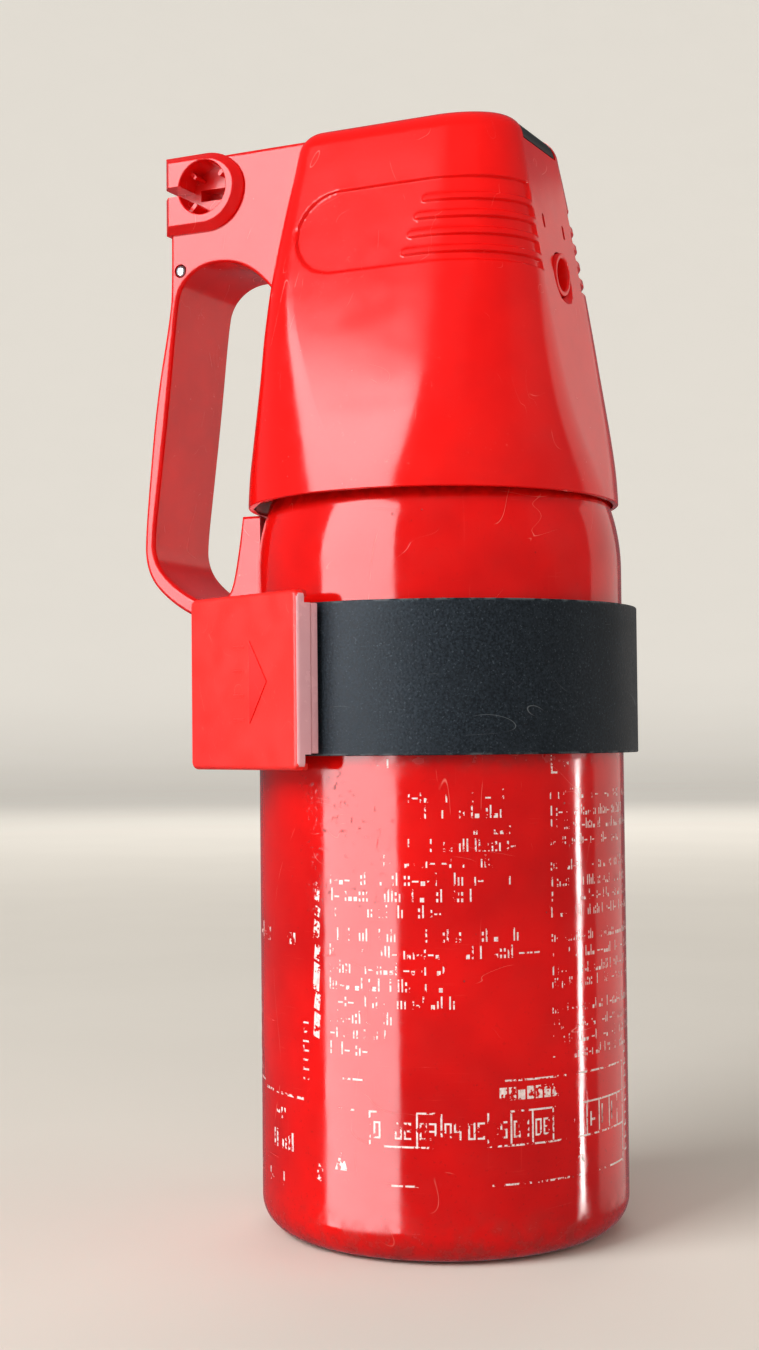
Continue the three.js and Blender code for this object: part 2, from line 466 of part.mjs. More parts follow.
// ---------------------------------------------------------------- draw latch
const latch = new THREE.Group();
latch.rotation.z = rad(LATCH_TURN);
bracket.add(latch);
piece(latch, 'latch_pin', cyl('z', 1.25, 123.2, 141.8, LEVER_PIVOT[0], LEVER_PIVOT[1], 18), ...STEEL);
{
  let l = box(-28.7, 9.6, -52.1, -50.9, 124.7, 140.3);
  for (const z of [124.7, 139.0]) {
    l = l.add(box(-28.7, -20.4, -51.2, -47.0, z, z + 1.3));
  }
  l = l.subtract(cyl('z', 1.55, 120, 145, LEVER_PIVOT[0], LEVER_PIVOT[1], 18));
  l = l.subtract(cyl('z', 1.2, 120, 145, LINK_PIVOT[0], LINK_PIVOT[1], 16));
  l = l.subtract(box(-26.6, -21.2, -60, -50.6, 126.6, 138.4));   // web opened over the rolled eye
  piece(latch, 'clasp_lever', l, ...ZINC);
}
{
  // wire bail: two ends turned into the lever, two legs, one cross bar
  const [px, py] = LINK_PIVOT, [kx, ky] = LINK_BAR;
  const half = (z0, z1, s) => {
    const p = new THREE.CurvePath();
    return [new THREE.Vector3(px, py, z0), new THREE.Vector3(px, py, z1 - 1.2 * s), new THREE.Vector3(px + 0.35, py + 0.01, z1 - 0.35 * s),
      new THREE.Vector3(px + 1.2, py + 0.02, z1)];
  };
  const pts = [
    ...half(126.4, 122.0, -1),
    new THREE.Vector3(-12, -49.1, 122.0), new THREE.Vector3(kx - 1.2, ky, 122.0), new THREE.Vector3(kx - 0.35, ky, 122.35), new THREE.Vector3(kx, ky, 123.2),
    new THREE.Vector3(kx, ky, 132.5), new THREE.Vector3(kx, ky, 141.8), new THREE.Vector3(kx - 0.35, ky, 142.65), new THREE.Vector3(kx - 1.2, ky, 143.0),
    new THREE.Vector3(-12, -49.1, 143.0),
    ...half(138.6, 143.0, 1).reverse(),
  ];
  const ring = [];
  for (let i = 0; i < 8; i++) ring.push([0.9 * Math.cos(rad(45 * i)), 0.9 * Math.sin(rad(45 * i))]);
  // swept section with a frame that keeps one axis along the latch normal
  const rings = [];
  for (let i = 0; i < pts.length; i++) {
    const a = pts[Math.max(0, i - 1)], b = pts[Math.min(pts.length - 1, i + 1)];
    const t = new THREE.Vector3().subVectors(b, a).normalize();
    const n = new THREE.Vector3(0, 1, 0);
    const m = new THREE.Vector3().crossVectors(t, n).normalize();
    const q = new THREE.Vector3().crossVectors(m, t).normalize();
    rings.push(ring.map(([u, v]) => [pts[i].x + m.x * u + q.x * v, pts[i].y + m.y * u + q.y * v, pts[i].z + m.z * u + q.z * v]));
  }
  let w = solid(loft(rings));
  if (w.volume() < 0) w = solid(loft(rings.map((r) => [...r].reverse())));
  piece(latch, 'draw_link', w, ...STEEL);
}
{
  // hollow cover: face, two long side walls, a notched end wall and the grip wall
  const z0 = 111.8, z1 = 153.0, x0 = -30.7, x1 = 12.3, r = 1.6;
  const face = [];
  for (const [cx, cz, a0] of [[x1 - r, z1 - r, 0], [x0 + r, z1 - r, 90], [x0 + r, z0 + r, 180], [x1 - r, z0 + r, 270]]) {
    for (let i = 0; i <= 3; i++) { const a = rad(a0 + 30 * i); face.push([cx + r * Math.cos(a), cz + r * Math.sin(a)]); }
  }
  let c = solid(extrudeY(face, -54, -48.6, {}));
  // rounded outer rim
  const rim = solid(extrudeY(face, -53.0, -46, { bevelEnabled: true, bevelThickness: 1.0, bevelSize: 1.0, bevelOffset: -1.0, bevelSegments: 2 }));
  c = c.intersect(rim);
  c = c.subtract(box(x0 + 1.5, x1 - 1.5, -52.4, -40, z0 + 1.5, z1 - 1.5));
  c = c.subtract(box(x1 - 3, x1 + 3, -49.9, -40, z0 - 2, z1 + 2));
  c = c.subtract(box(x1 - 1.9, x1 + 3, -51.6, -40, z0 - 2, z0 + 3.6));
  c = c.subtract(box(x1 - 1.9, x1 + 3, -51.6, -40, z1 - 3.0, z1 + 2));
  c = c.subtract(box(x0 - 2, x0 + 3, -52.0, -40, 125.0, 140.0));
  // raised arrow on the face
  c = c.add(solid(extrudeY([[-5.7, 122.6], [1.1, 132.3], [-5.7, 142.0]], -54.3, -53.5)));
  piece(latch, 'clasp_cover', c, ...RED_PLASTIC);
}
piece(latch, 'clasp_grip', box(9.9, 12.1, -49.6, -47.5, 115.6, 150.0), ...RED_PLASTIC);

export default extinguisher;
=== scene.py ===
"""Portable powder extinguisher in its strap bracket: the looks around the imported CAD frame."""
import math
import random
import bpy
import bmesh
import numpy as np
from mathutils import Matrix, Vector


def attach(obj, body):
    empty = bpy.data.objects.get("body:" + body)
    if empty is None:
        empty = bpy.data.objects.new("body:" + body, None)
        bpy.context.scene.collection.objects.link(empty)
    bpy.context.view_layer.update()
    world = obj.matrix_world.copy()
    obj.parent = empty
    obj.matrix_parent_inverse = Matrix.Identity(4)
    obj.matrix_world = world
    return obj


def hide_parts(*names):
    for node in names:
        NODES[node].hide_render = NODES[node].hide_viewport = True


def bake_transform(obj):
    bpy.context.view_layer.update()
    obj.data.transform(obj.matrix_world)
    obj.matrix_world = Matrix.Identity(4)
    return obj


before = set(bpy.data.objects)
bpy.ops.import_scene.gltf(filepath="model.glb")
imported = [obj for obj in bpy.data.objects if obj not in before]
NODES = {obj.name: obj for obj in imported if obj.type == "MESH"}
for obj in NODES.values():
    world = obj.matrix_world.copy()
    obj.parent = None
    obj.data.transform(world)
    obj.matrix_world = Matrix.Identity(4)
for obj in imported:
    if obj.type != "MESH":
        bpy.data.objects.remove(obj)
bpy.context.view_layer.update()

SCENE = bpy.context.scene
MM = 0.001
rad = math.radians


# =====================================================================  mesh helpers (all in mm)
def new_object(name, verts, faces, sharp=35.0):
    me = bpy.data.meshes.new(name)
    me.from_pydata((np.asarray(verts, float) * MM).tolist(), [], [tuple(int(i) for i in f) for f in faces])
    me.validate()
    me.update()
    me.shade_smooth()
    if sharp:
        me.set_sharp_from_angle(angle=rad(sharp))
    ob = bpy.data.objects.new(name, me)
    SCENE.collection.objects.link(ob)
    return ob


def outward(ob):
    """Faces turned outwards, doubles merged."""
    bm = bmesh.new()
    bm.from_mesh(ob.data)
    bmesh.ops.remove_doubles(bm, verts=bm.verts, dist=1e-7)
    bmesh.ops.recalc_face_normals(bm, faces=bm.faces)
    bm.to_mesh(ob.data)
    bm.free()
    return ob


def carve(ob, cutters, operation="DIFFERENCE"):
    """Boolean with each cutter in turn, applied to the mesh, cutters removed."""
    for c in cutters:
        outward(c)
    outward(ob)
    for c in cutters:
        done = False
        for solver in ("MANIFOLD", "EXACT"):
            m = ob.modifiers.new("cut", "BOOLEAN")
            m.operation = operation
            m.object = c
            try:
                m.solver = solver
            except TypeError:
                ob.modifiers.remove(m)
                continue
            bpy.context.view_layer.update()
            me = bpy.data.meshes.new_from_object(ob.evaluated_get(bpy.context.evaluated_depsgraph_get()))
            ob.modifiers.remove(m)
            same = len(me.vertices) == len(ob.data.vertices)
            if len(me.polygons) > 3 and not (same and solver == "MANIFOLD"):
                ob.data = me
                done = True
                break
        if not done:
            print("carve: no effect of", c.name, "on", ob.name)
        bpy.data.objects.remove(c)
    return ob


def settle(ob, sharp=32.0, tri=False):
    """Clean shading after booleans."""
    bm = bmesh.new()
    bm.from_mesh(ob.data)
    bmesh.ops.remove_doubles(bm, verts=bm.verts, dist=2e-6)
    bmesh.ops.dissolve_degenerate(bm, edges=bm.edges, dist=2e-6)
    if tri:
        bmesh.ops.triangulate(bm, faces=bm.faces)
    loose = [v for v in bm.verts if not v.link_faces]
    bmesh.ops.delete(bm, geom=loose, context="VERTS")
    bm.to_mesh(ob.data)
    bm.free()
    ob.data.shade_smooth()
    ob.data.set_sharp_from_angle(angle=rad(sharp))
    w = ob.modifiers.new("normals", "WEIGHTED_NORMAL")
    w.keep_sharp = True
    w.weight = 60
    return ob


def lathe(name, profile, n=96, closed=True, sharp=35.0):
    """[r, z] profile turned about Z; axis points are single vertices."""
    verts, rows = [], []
    for r, z in profile:
        if abs(r) < 1e-6:
            rows.append([len(verts)] * n)
            verts.append((0.0, 0.0, z))
        else:
            rows.append(list(range(len(verts), len(verts) + n)))
            for k in range(n):
                a = 2 * math.pi * k / n
                verts.append((r * math.sin(a), -r * math.cos(a), z))
    faces = []
    m = len(profile)
    for i in range(m if closed else m - 1):
        a, b = rows[i], rows[(i + 1) % m]
        for k in range(n):
            q = [a[k], a[(k + 1) % n], b[(k + 1) % n], b[k]]
            q = [v for j, v in enumerate(q) if v not in q[:j]]
            if len(q) > 2:
                faces.append(q)
    return outward(new_object(name, verts, faces, sharp))


def arc(cx, cy, r, a0, a1, n):
    return [(cx + r * math.cos(rad(a0 + (a1 - a0) * i / n)), cy + r * math.sin(rad(a0 + (a1 - a0) * i / n))) for i in range(n + 1)]


def chaikin(pts, times=2, keep=()):
    """Corner cutting on a closed outline; the points whose index is in keep stay sharp."""
    flags = [i in keep for i in range(len(pts))]
    for _ in range(times):
        out, fl = [], []
        n = len(pts)
        for i in range(n):
            a, b = np.array(pts[i]), np.array(pts[(i + 1) % n])
            ka, kb = flags[i], flags[(i + 1) % n]
            if ka:
                out.append(tuple(a)); fl.append(True)
            else:
                out.append(tuple(a * 0.75 + b * 0.25)); fl.append(False)
            if not kb:
                out.append(tuple(a * 0.25 + b * 0.75)); fl.append(False)
        pts, flags = out, fl
    return pts


def tidy(pts, least=0.12):
    out = []
    for p in pts:
        if not out or math.dist(p, out[-1]) > least:
            out.append(tuple(p))
    if math.dist(out[0], out[-1]) < least:
        out.pop()
    return out


def area2(pts):
    return sum(a[0] * b[1] - b[0] * a[1] for a, b in zip(pts, pts[1:] + pts[:1]))


def slab(name, outline, t0, t1, edge=0.0, seg=3, frame3=None, sharp=35.0, holes=()):
    """Closed outline in (p, q) raised along t with rounded edges. frame3(p, q, t) gives x, y, z."""
    pts = tidy(outline)
    if area2(pts) < 0:
        pts = pts[::-1]
    n = len(pts)
    p = np.array(pts)
    d = np.roll(p, -1, 0) - p
    d /= np.linalg.norm(d, axis=1)[:, None]
    nrm = np.stack([d[:, 1], -d[:, 0]], 1)
    prev = np.roll(nrm, 1, 0)
    mit = nrm + prev
    mit /= np.maximum(0.35, 1 + (nrm * prev).sum(1))[:, None]
    layers = []
    if edge > 0:
        layers = [(t0 + edge * (1 - math.cos(rad(90 * k / seg))), edge * (1 - math.sin(rad(90 * k / seg)))) for k in range(seg + 1)]
        top = [(t1 - edge * (1 - math.cos(rad(90 * k / seg))), edge * (1 - math.sin(rad(90 * k / seg)))) for k in range(seg, -1, -1)]
        layers += top
    else:
        layers = [(t0, 0.0), (t1, 0.0)]
    verts, faces = [], []
    for t, off in layers:
        q = p - mit * off
        for x, y in q:
            verts.append(frame3(x, y, t))
    for k in range(len(layers) - 1):
        for i in range(n):
            a, b = k * n + i, k * n + (i + 1) % n
            faces.append((a, b, b + n, a + n))
    faces.append(tuple(range(n))[::-1])
    last = (len(layers) - 1) * n
    faces.append(tuple(range(last, last + n)))
    ob = new_object(name, verts, faces, sharp)
    bm = bmesh.new()
    bm.from_mesh(ob.data)
    bmesh.ops.triangulate(bm, faces=[f for f in bm.faces if len(f.verts) > 4])
    bm.to_mesh(ob.data)
    bm.free()
    return outward(ob)


XZ = lambda p, q, t: (p, t, q)      # outline in X-Z, raised along Y
XY = lambda p, q, t: (p, q, t)      # outline in X-Y, raised along Z
YZ = lambda p, q, t: (t, p, q)      # outline in Y-Z, raised along X


def box_cutter(x0, x1, y0, y1, z0, z1):
    return slab("cutter", [(x0, z0), (x1, z0), (x1, z1), (x0, z1)], y0, y1, frame3=XZ)


def turned(profile, centre, axis, n=64):
    """[r, t] profile turned about an axis through centre: t runs along X, Y or Z."""
    verts, faces = [], []
    for r, t in profile:
        for k in range(n):
            a = 2 * math.pi * k / n
            c, s = r * math.cos(a), r * math.sin(a)
            if axis == "X":
                verts.append((t, centre[0] + c, centre[1] + s))
            elif axis == "Y":
                verts.append((centre[0] + c, t, centre[1] + s))
            else:
                verts.append((centre[0] + c, centre[1] + s, t))
    m = len(profile)
    for i in range(m - 1):
        for k in range(n):
            a, b = i * n + k, i * n + (k + 1) % n
            faces.append((a, b, b + n, a + n))
    faces.append(tuple(range(n)))
    faces.append(tuple(range((m - 1) * n, m * n)))
    return outward(new_object("turned", verts, faces))


def to_bracket(turn=24.0):
    c, s = math.cos(rad(turn)), math.sin(rad(turn))
    return lambda x, y, z: (c * x - s * y, s * x + c * y, z)


def rename(ob, name):
    ob.name = name
    ob.data.name = name
    return ob


def finish_piece(ob, name, mat, body, slot=None, *nodes):
    rename(ob, name)
    ob.data.materials.clear()
    ob.data.materials.append(mat)
    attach(ob, body)
    if nodes:
        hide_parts(*nodes)
    return ob


# =====================================================================  materials
class Shade:
    """Small builder for one node material, working in millimetres of the row frame."""

    def __init__(self, name):
        self.mat = bpy.data.materials.new(name)
        self.mat.use_nodes = True
        self.t = self.mat.node_tree
        self.bsdf = self.t.nodes["Principled BSDF"]
        tc = self.t.nodes.new("ShaderNodeTexCoord")
        sc = self.t.nodes.new("ShaderNodeVectorMath")
        sc.operation = "SCALE"
        sc.inputs["Scale"].default_value = 1000.0
        self.t.links.new(tc.outputs["Object"], sc.inputs[0])
        self.mm = sc.outputs[0]

    def put(self, socket, value):
        if isinstance(value, bpy.types.NodeSocket):
            self.t.links.new(value, socket)
        elif value is not None:
            socket.default_value = value

    def math(self, op, a, b=None, c=None, clamp=False):
        n = self.t.nodes.new("ShaderNodeMath")
        n.operation = op
        n.use_clamp = clamp
        self.put(n.inputs[0], a)
        self.put(n.inputs[1], b)
        self.put(n.inputs[2], c)
        return n.outputs[0]

    def xyz(self, v=None):
        n = self.t.nodes.new("ShaderNodeSeparateXYZ")
        self.put(n.inputs[0], v or self.mm)
        return n.outputs

    def vec(self, x, y, z):
        n = self.t.nodes.new("ShaderNodeCombineXYZ")
        for i, v in enumerate((x, y, z)):
            self.put(n.inputs[i], v)
        return n.outputs[0]

    def scaled(self, sx, sy, sz, v=None):
        n = self.t.nodes.new("ShaderNodeVectorMath")
        n.operation = "MULTIPLY"
        self.put(n.inputs[0], v or self.mm)
        n.inputs[1].default_value = (sx, sy, sz)
        return n.outputs[0]

    def noise(self, size, detail=3.0, rough=0.55, distort=0.0, v=None):
        """Noise whose features are about `size` mm."""
        n = self.t.nodes.new("ShaderNodeTexNoise")
        n.inputs["Scale"].default_value = 1.0 / size
        n.inputs["Detail"].default_value = detail
        n.inputs["Roughness"].default_value = rough
        n.inputs["Distortion"].default_value = distort
        self.put(n.inputs["Vector"], v or self.mm)
        return n.outputs["Fac"]

    def cells(self, size, v=None, feature="F1"):
        n = self.t.nodes.new("ShaderNodeTexVoronoi")
        n.feature = feature
        n.inputs["Scale"].default_value = 1.0 / size
        self.put(n.inputs["Vector"], v or self.mm)
        return n.outputs

    def ramp(self, v, a, b, out0=0.0, out1=1.0, kind="SMOOTHSTEP"):
        n = self.t.nodes.new("ShaderNodeMapRange")
        n.interpolation_type = kind
        self.put(n.inputs["Value"], v)
        n.inputs["From Min"].default_value = a
        n.inputs["From Max"].default_value = b
        n.inputs["To Min"].default_value = out0
        n.inputs["To Max"].default_value = out1
        return n.outputs["Result"]

    def mix(self, f, a, b):
        n = self.t.nodes.new("ShaderNodeMix")
        n.data_type = "RGBA"
        n.clamp_factor = True
        self.put(n.inputs["Factor"], f)
        for s, v in ((n.inputs["A"], a), (n.inputs["B"], b)):
            pass
        ca = [i for i in n.inputs if i.name == "A" and i.type == "RGBA"][0]
        cb = [i for i in n.inputs if i.name == "B" and i.type == "RGBA"][0]
        self.put(ca, a if isinstance(a, bpy.types.NodeSocket) else (*a, 1.0))
        self.put(cb, b if isinstance(b, bpy.types.NodeSocket) else (*b, 1.0))
        return [o for o in n.outputs if o.type == "RGBA"][0]

    def mul(self, *v):
        out = v[0]
        for x in v[1:]:
            out = self.math("MULTIPLY", out, x)
        return out

    def add(self, *v):
        out = v[0]
        for x in v[1:]:
            out = self.math("ADD", out, x)
        return out

    def hair(self, v, width, centre=0.5):
        """1 on a thin contour of a noise field, a scratch."""
        d = self.math("ABSOLUTE", self.math("SUBTRACT", v, centre))
        return self.ramp(d, 0.0, width, 1.0, 0.0)

    def bump(self, height, depth_mm, strength=1.0, normal=None):
        n = self.t.nodes.new("ShaderNodeBump")
        n.inputs["Strength"].default_value = strength
        n.inputs["Distance"].default_value = depth_mm * MM
        self.put(n.inputs["Height"], height)
        if normal is not None:
            self.put(n.inputs["Normal"], normal)
        return n.outputs["Normal"]

    def out(self, colour=None, rough=None, metal=None, normal=None, **fixed):
        b = self.bsdf.inputs
        if colour is not None:
            self.put(b["Base Color"], colour if isinstance(colour, bpy.types.NodeSocket) else (*colour, 1.0))
        self.put(b["Roughness"], rough)
        self.put(b["Metallic"], metal)
        if normal is not None:
            self.put(b["Normal"], normal)
        for k, v in fixed.items():
            b[k.replace("_", " ")].default_value = v
        return self.mat


def srgb(r, g, b):
    f = lambda c: c / 12.92 if c <= 0.04045 else ((c + 0.055) / 1.055) ** 2.4
    return tuple(f(c / 255) for c in (r, g, b))


def cylinder_coords(s):
    """Arc length round the cylinder (mm, 0 at -Y, growing towards +X) and height (mm)."""
    x, y, z = s.xyz()
    theta = s.math("ARCTAN2", x, s.math("MULTIPLY", y, -1.0))
    return s.math("MULTIPLY", theta, 45.0), z


RED = srgb(221, 14, 10)
RED_DEEP = srgb(186, 8, 7)
RED_SCUFF = srgb(226, 62, 52)


def paint(s):
    """Worn gloss paint of the cylinder: colour, roughness and bump sockets."""
    arc_mm, z = cylinder_coords(s)
    flat = s.vec(arc_mm, z, 0.0)
    broad = s.noise(38, 3)
    cloud = s.noise(9, 4, 0.6)
    col = s.mix(s.ramp(broad, 0.3, 0.72), RED, RED_DEEP)
    col = s.mix(s.mul(s.ramp(cloud, 0.45, 0.8), 0.28), col, srgb(200, 20, 14))
    # haze of fine handling scratches round and along the cylinder
    around = s.noise(1.0, 5, 0.62, 0.4, s.vec(s.math("MULTIPLY", arc_mm, 0.07), s.math("MULTIPLY", z, 1.5), 0.0))
    along = s.noise(1.0, 5, 0.6, 0.5, s.vec(s.math("MULTIPLY", arc_mm, 1.25), s.math("MULTIPLY", z, 0.05), 3.1))
    patch = s.ramp(s.noise(17, 3), 0.46, 0.64)
    fine = s.mul(s.ramp(around, 0.60, 0.74), patch)
    tall = s.mul(s.ramp(along, 0.62, 0.76), s.ramp(s.noise(23, 2), 0.48, 0.66))
    # long single hairlines
    line_a = s.mul(s.hair(s.noise(26, 1, 0.4, 0.9, s.scaled(1.0, 1.0, 0.33)), 0.0016), s.ramp(s.noise(11, 2), 0.55, 0.62))
    line_b = s.mul(s.hair(s.noise(19, 1, 0.4, 1.3, s.scaled(0.5, 0.5, 1.4)), 0.0018, 0.46), s.ramp(s.noise(14, 2), 0.56, 0.64))
    scratch = s.math("MAXIMUM", line_a, line_b)
    # knocks: a dense patch under the strap on the latch side, a few anywhere
    left = s.mul(s.ramp(arc_mm, -24, -8, 0.0, 1.0), s.ramp(arc_mm, -4, 14, 1.0, 0.0), s.ramp(z, 70, 84), s.ramp(z, 108, 114, 1.0, 0.0))
    pit_field = s.noise(1.5, 4, 0.72)
    pits = s.mul(s.ramp(pit_field, 0.60, 0.66), s.ramp(s.noise(6, 3), 0.42, 0.58), left)
    flecks = s.cells(3.3)["Distance"]
    rare = s.ramp(s.noise(5.5, 2), 0.60, 0.68)
    few = s.mul(s.ramp(flecks, 0.05, 0.115, 1.0, 0.0), rare)
    dark_marks = s.math("MAXIMUM", s.mul(pits, 0.85), s.mul(few, 0.75))
    col = s.mix(s.mul(fine, 0.34), col, RED_SCUFF)
    col = s.mix(s.mul(tall, 0.22), col, RED_SCUFF)
    col = s.mix(s.mul(scratch, 0.7), col, srgb(232, 120, 108))
    col = s.mix(dark_marks, col, srgb(96, 14, 12))
    # darker mottle towards the foot; mottled painted shade just under the strap's lower edge and just under the hood
    # rim
    foot = s.mul(s.ramp(z, 1, 17, 1.0, 0.0), s.ramp(s.noise(4.5, 5, 0.68), 0.40, 0.66))
    # painted shade: a darker band just below the strap's lower edge
    edge = s.mul(s.ramp(z, 109.0, 114.6, 0.0, 1.0), s.ramp(z, 116.0, 118.0, 1.0, 0.0), s.ramp(s.noise(3.5, 4), 0.42, 0.66))
    # painted shade: a darker band just below the hood's overhanging rim
    rim = s.mul(s.ramp(z, 172.6, 175.8, 0.0, 1.0), s.ramp(s.noise(3.0, 4), 0.36, 0.62))
    speck = s.mul(s.ramp(s.noise(0.9, 2), 0.64, 0.70), s.ramp(z, 6, 70, 0.9, 0.25))
    col = s.mix(s.mul(foot, 0.40), col, srgb(120, 26, 20))
    col = s.mix(s.mul(edge, 0.30), col, srgb(124, 18, 14))
    col = s.mix(s.mul(rim, 0.40), col, srgb(98, 16, 12))
    col = s.mix(s.mul(speck, 0.35), col, srgb(120, 20, 16))
    rough = s.add(s.ramp(cloud, 0.3, 0.75, 0.075, 0.15), s.mul(fine, 0.20), s.mul(tall, 0.15), s.mul(dark_marks, 0.35), s.mul(foot, 0.3), s.mul(edge, 0.2))
    height = s.add(s.mul(s.noise(2.6, 2), 0.10), s.mul(s.noise(13, 1), 1.6), s.mul(dark_marks, -0.8), s.mul(scratch, -0.35), s.mul(fine, -0.12), s.mul(tall, -0.12))
    return col, rough, height, flat, arc_mm, z


def mat_paint():
    s = Shade("red_paint")
    col, rough, height, *_ = paint(s)
    return s.out(col, rough, 0.0, s.bump(height, 0.045), IOR=1.5, Coat_Weight=0.0)


def mat_ink():
    """White screen print, flaked away to the paint beneath."""
    s = Shade("white_print")
    col, rough, height, flat, arc_mm, z = paint(s)
    # how much is left: more gone near the latch side, along the highlight and low down
    coarse = s.noise(4.2, 3, 0.6, 0.4)
    fine = s.noise(0.85, 3, 0.6)
    lost = s.add(s.mul(coarse, 0.62), s.mul(fine, 0.38))
    side = s.add(s.ramp(arc_mm, -60, 16, 0.045, 0.0), s.mul(s.ramp(arc_mm, 44.5, 47.0, 0.0, 0.07), s.ramp(arc_mm, 51.5, 54, 1.0, 0.0)),
                 s.mul(s.ramp(z, 20, 34, 0.02, 0.0)), s.mul(s.ramp(z, 86, 96, 0.0, 0.025), s.ramp(arc_mm, 36, 42, 1.0, 0.0)))
    keep = s.ramp(s.add(lost, side), 0.515, 0.545, 1.0, 0.0)
    tone = s.mix(s.ramp(fine, 0.35, 0.7), srgb(240, 226, 222), srgb(214, 186, 182))
    c = s.mix(keep, col, tone)
    r = s.add(s.mul(keep, 0.12), rough)
    h = s.add(height, s.mul(keep, 0.35))
    return s.out(c, r, 0.0, s.bump(h, 0.045), IOR=1.5)


def mat_plastic(name, base, deep, scuff, rough0=0.17, rough1=0.27, grain=0.0, dirt=0.25, spec=None, scratch_amount=1.0):
    """Moulded plastic: slight sink and flow variation, hairline scratches, dust specks."""
    s = Shade(name)
    broad = s.noise(30, 3)
    cloud = s.noise(7, 4, 0.62)
    col = s.mix(s.ramp(broad, 0.3, 0.7), base, deep)
    line_a = s.mul(s.hair(s.noise(21, 1, 0.4, 1.1, s.scaled(1.0, 0.6, 0.5)), 0.0016), s.ramp(s.noise(10, 2), 0.56, 0.63))
    line_b = s.mul(s.hair(s.noise(15, 1, 0.4, 1.5, s.scaled(0.6, 1.2, 0.9)), 0.0018, 0.47), s.ramp(s.noise(12, 2), 0.57, 0.64))
    scratch = s.math("MAXIMUM", line_a, line_b)
    speck = s.mul(s.ramp(s.cells(2.6)["Distance"], 0.045, 0.10, 1.0, 0.0), s.ramp(s.noise(6.5, 2), 0.59, 0.67))
    scuffs = s.mul(s.ramp(s.noise(1.3, 5, 0.7, 0.3), 0.60, 0.72), s.ramp(s.noise(13, 3), 0.50, 0.68))
    col = s.mix(s.mul(scuffs, 0.35), col, scuff)
    col = s.mix(s.mul(scratch, 0.65 * scratch_amount), col, scuff)
    col = s.mix(s.mul(speck, dirt + 0.3), col, tuple(c * 0.25 for c in deep))
    col = s.mix(s.mul(s.ramp(cloud, 0.5, 0.82), dirt), col, tuple(c * 0.72 for c in deep))
    rough = s.add(s.ramp(cloud, 0.3, 0.75, rough0, rough1), s.mul(scuffs, 0.16), s.mul(speck, 0.3), s.mul(scratch, 0.2))
    height = s.add(s.mul(s.noise(12, 1), 0.7), s.mul(scratch, -0.3 * scratch_amount), s.mul(scuffs, -0.10), s.mul(speck, 0.4))
    if grain:
        height = s.add(height, s.mul(s.noise(0.42, 3, 0.6), grain), s.mul(s.ramp(s.cells(0.8)["Distance"], 0.1, 0.7), grain * 0.6))
    fixed = {"IOR": 1.5}
    if spec is not None:
        fixed["Specular_IOR_Level"] = spec
    return s.out(col, rough, 0.0, s.bump(height, 0.05), **fixed)


def mat_powder_coat():
    """Anthracite powder coat with a fine orange-peel grain, rubbed at the edges."""
    s = Shade("anthracite_coat")
    grain = s.noise(0.55, 3, 0.6)
    knots = s.ramp(s.cells(0.75)["Distance"], 0.05, 0.75)
    cloud = s.noise(14, 3)
    x, y, z = s.xyz()
    col = s.mix(s.ramp(grain, 0.34, 0.70), srgb(17, 22, 28), srgb(36, 44, 51))
    col = s.mix(s.mul(s.ramp(cloud, 0.35, 0.75), 0.35), col, srgb(24, 29, 34))
    glint = s.mul(s.ramp(s.noise(0.5, 1), 0.66, 0.72), 0.5)
    col = s.mix(glint, col, srgb(70, 80, 88))
    rub_hi = s.mul(s.ramp(z, 149.7, 150.2, 0.0, 1.0), s.ramp(z, 151.2, 151.6, 1.0, 0.0))
    rub_lo = s.mul(s.ramp(z, 115.15, 115.7, 1.0, 0.0), s.ramp(z, 113.8, 114.2, 0.0, 1.0))
    rub = s.mul(s.math("MAXIMUM", rub_hi, rub_lo), s.ramp(s.noise(3.0, 4), 0.45, 0.60))
    col = s.mix(s.mul(rub, 0.5), col, srgb(98, 104, 108))
    line = s.mul(s.hair(s.noise(24, 1, 0.4, 1.0, s.scaled(0.4, 0.4, 1.5)), 0.0014), s.ramp(s.noise(15, 2), 0.56, 0.64))
    col = s.mix(s.mul(line, 0.5), col, srgb(120, 126, 130))
    rough = s.add(s.ramp(grain, 0.3, 0.7, 0.42, 0.56), s.mul(rub, -0.08), s.mul(s.ramp(cloud, 0.3, 0.7), 0.05))
    height = s.add(s.mul(grain, 0.7), s.mul(knots, 0.5), s.mul(line, -0.4))
    return s.out(col, rough, 0.0, s.bump(height, 0.055), IOR=1.5, Specular_IOR_Level=0.16)


def mat_metal(name, base, deep, rough0, rough1, brushed=None, spots=None):
    s = Shade(name)
    cloud = s.noise(3.5, 4, 0.6)
    v = s.scaled(*(brushed or (1.0, 1.0, 1.0)))
    lines = s.noise(0.5, 4, 0.65, 0.0, v)
    col = s.mix(s.ramp(cloud, 0.3, 0.72), base, deep)
    if spots:
        col = s.mix(s.mul(s.ramp(s.noise(1.4, 4, 0.7), 0.60, 0.70), 0.6), col, spots)
    rough = s.add(s.ramp(cloud, 0.3, 0.75, rough0, rough1), s.mul(s.ramp(lines, 0.4, 0.7), 0.10))
    height = s.add(s.mul(lines, 0.5), s.mul(cloud, 0.4))
    return s.out(col, rough, 1.0, s.bump(height, 0.012), IOR=1.5)


def mat_rubber(name="black_rubber"):
    s = Shade(name)
    cloud = s.noise(5, 4)
    fine = s.noise(0.6, 3, 0.6)
    col = s.mix(s.ramp(cloud, 0.35, 0.7), srgb(24, 24, 25), srgb(40, 39, 38))
    rough = s.ramp(cloud, 0.3, 0.7, 0.72, 0.88)
    return s.out(col, rough, 0.0, s.bump(s.add(s.mul(fine, 0.6), s.mul(cloud, 0.4)), 0.05), IOR=1.45)


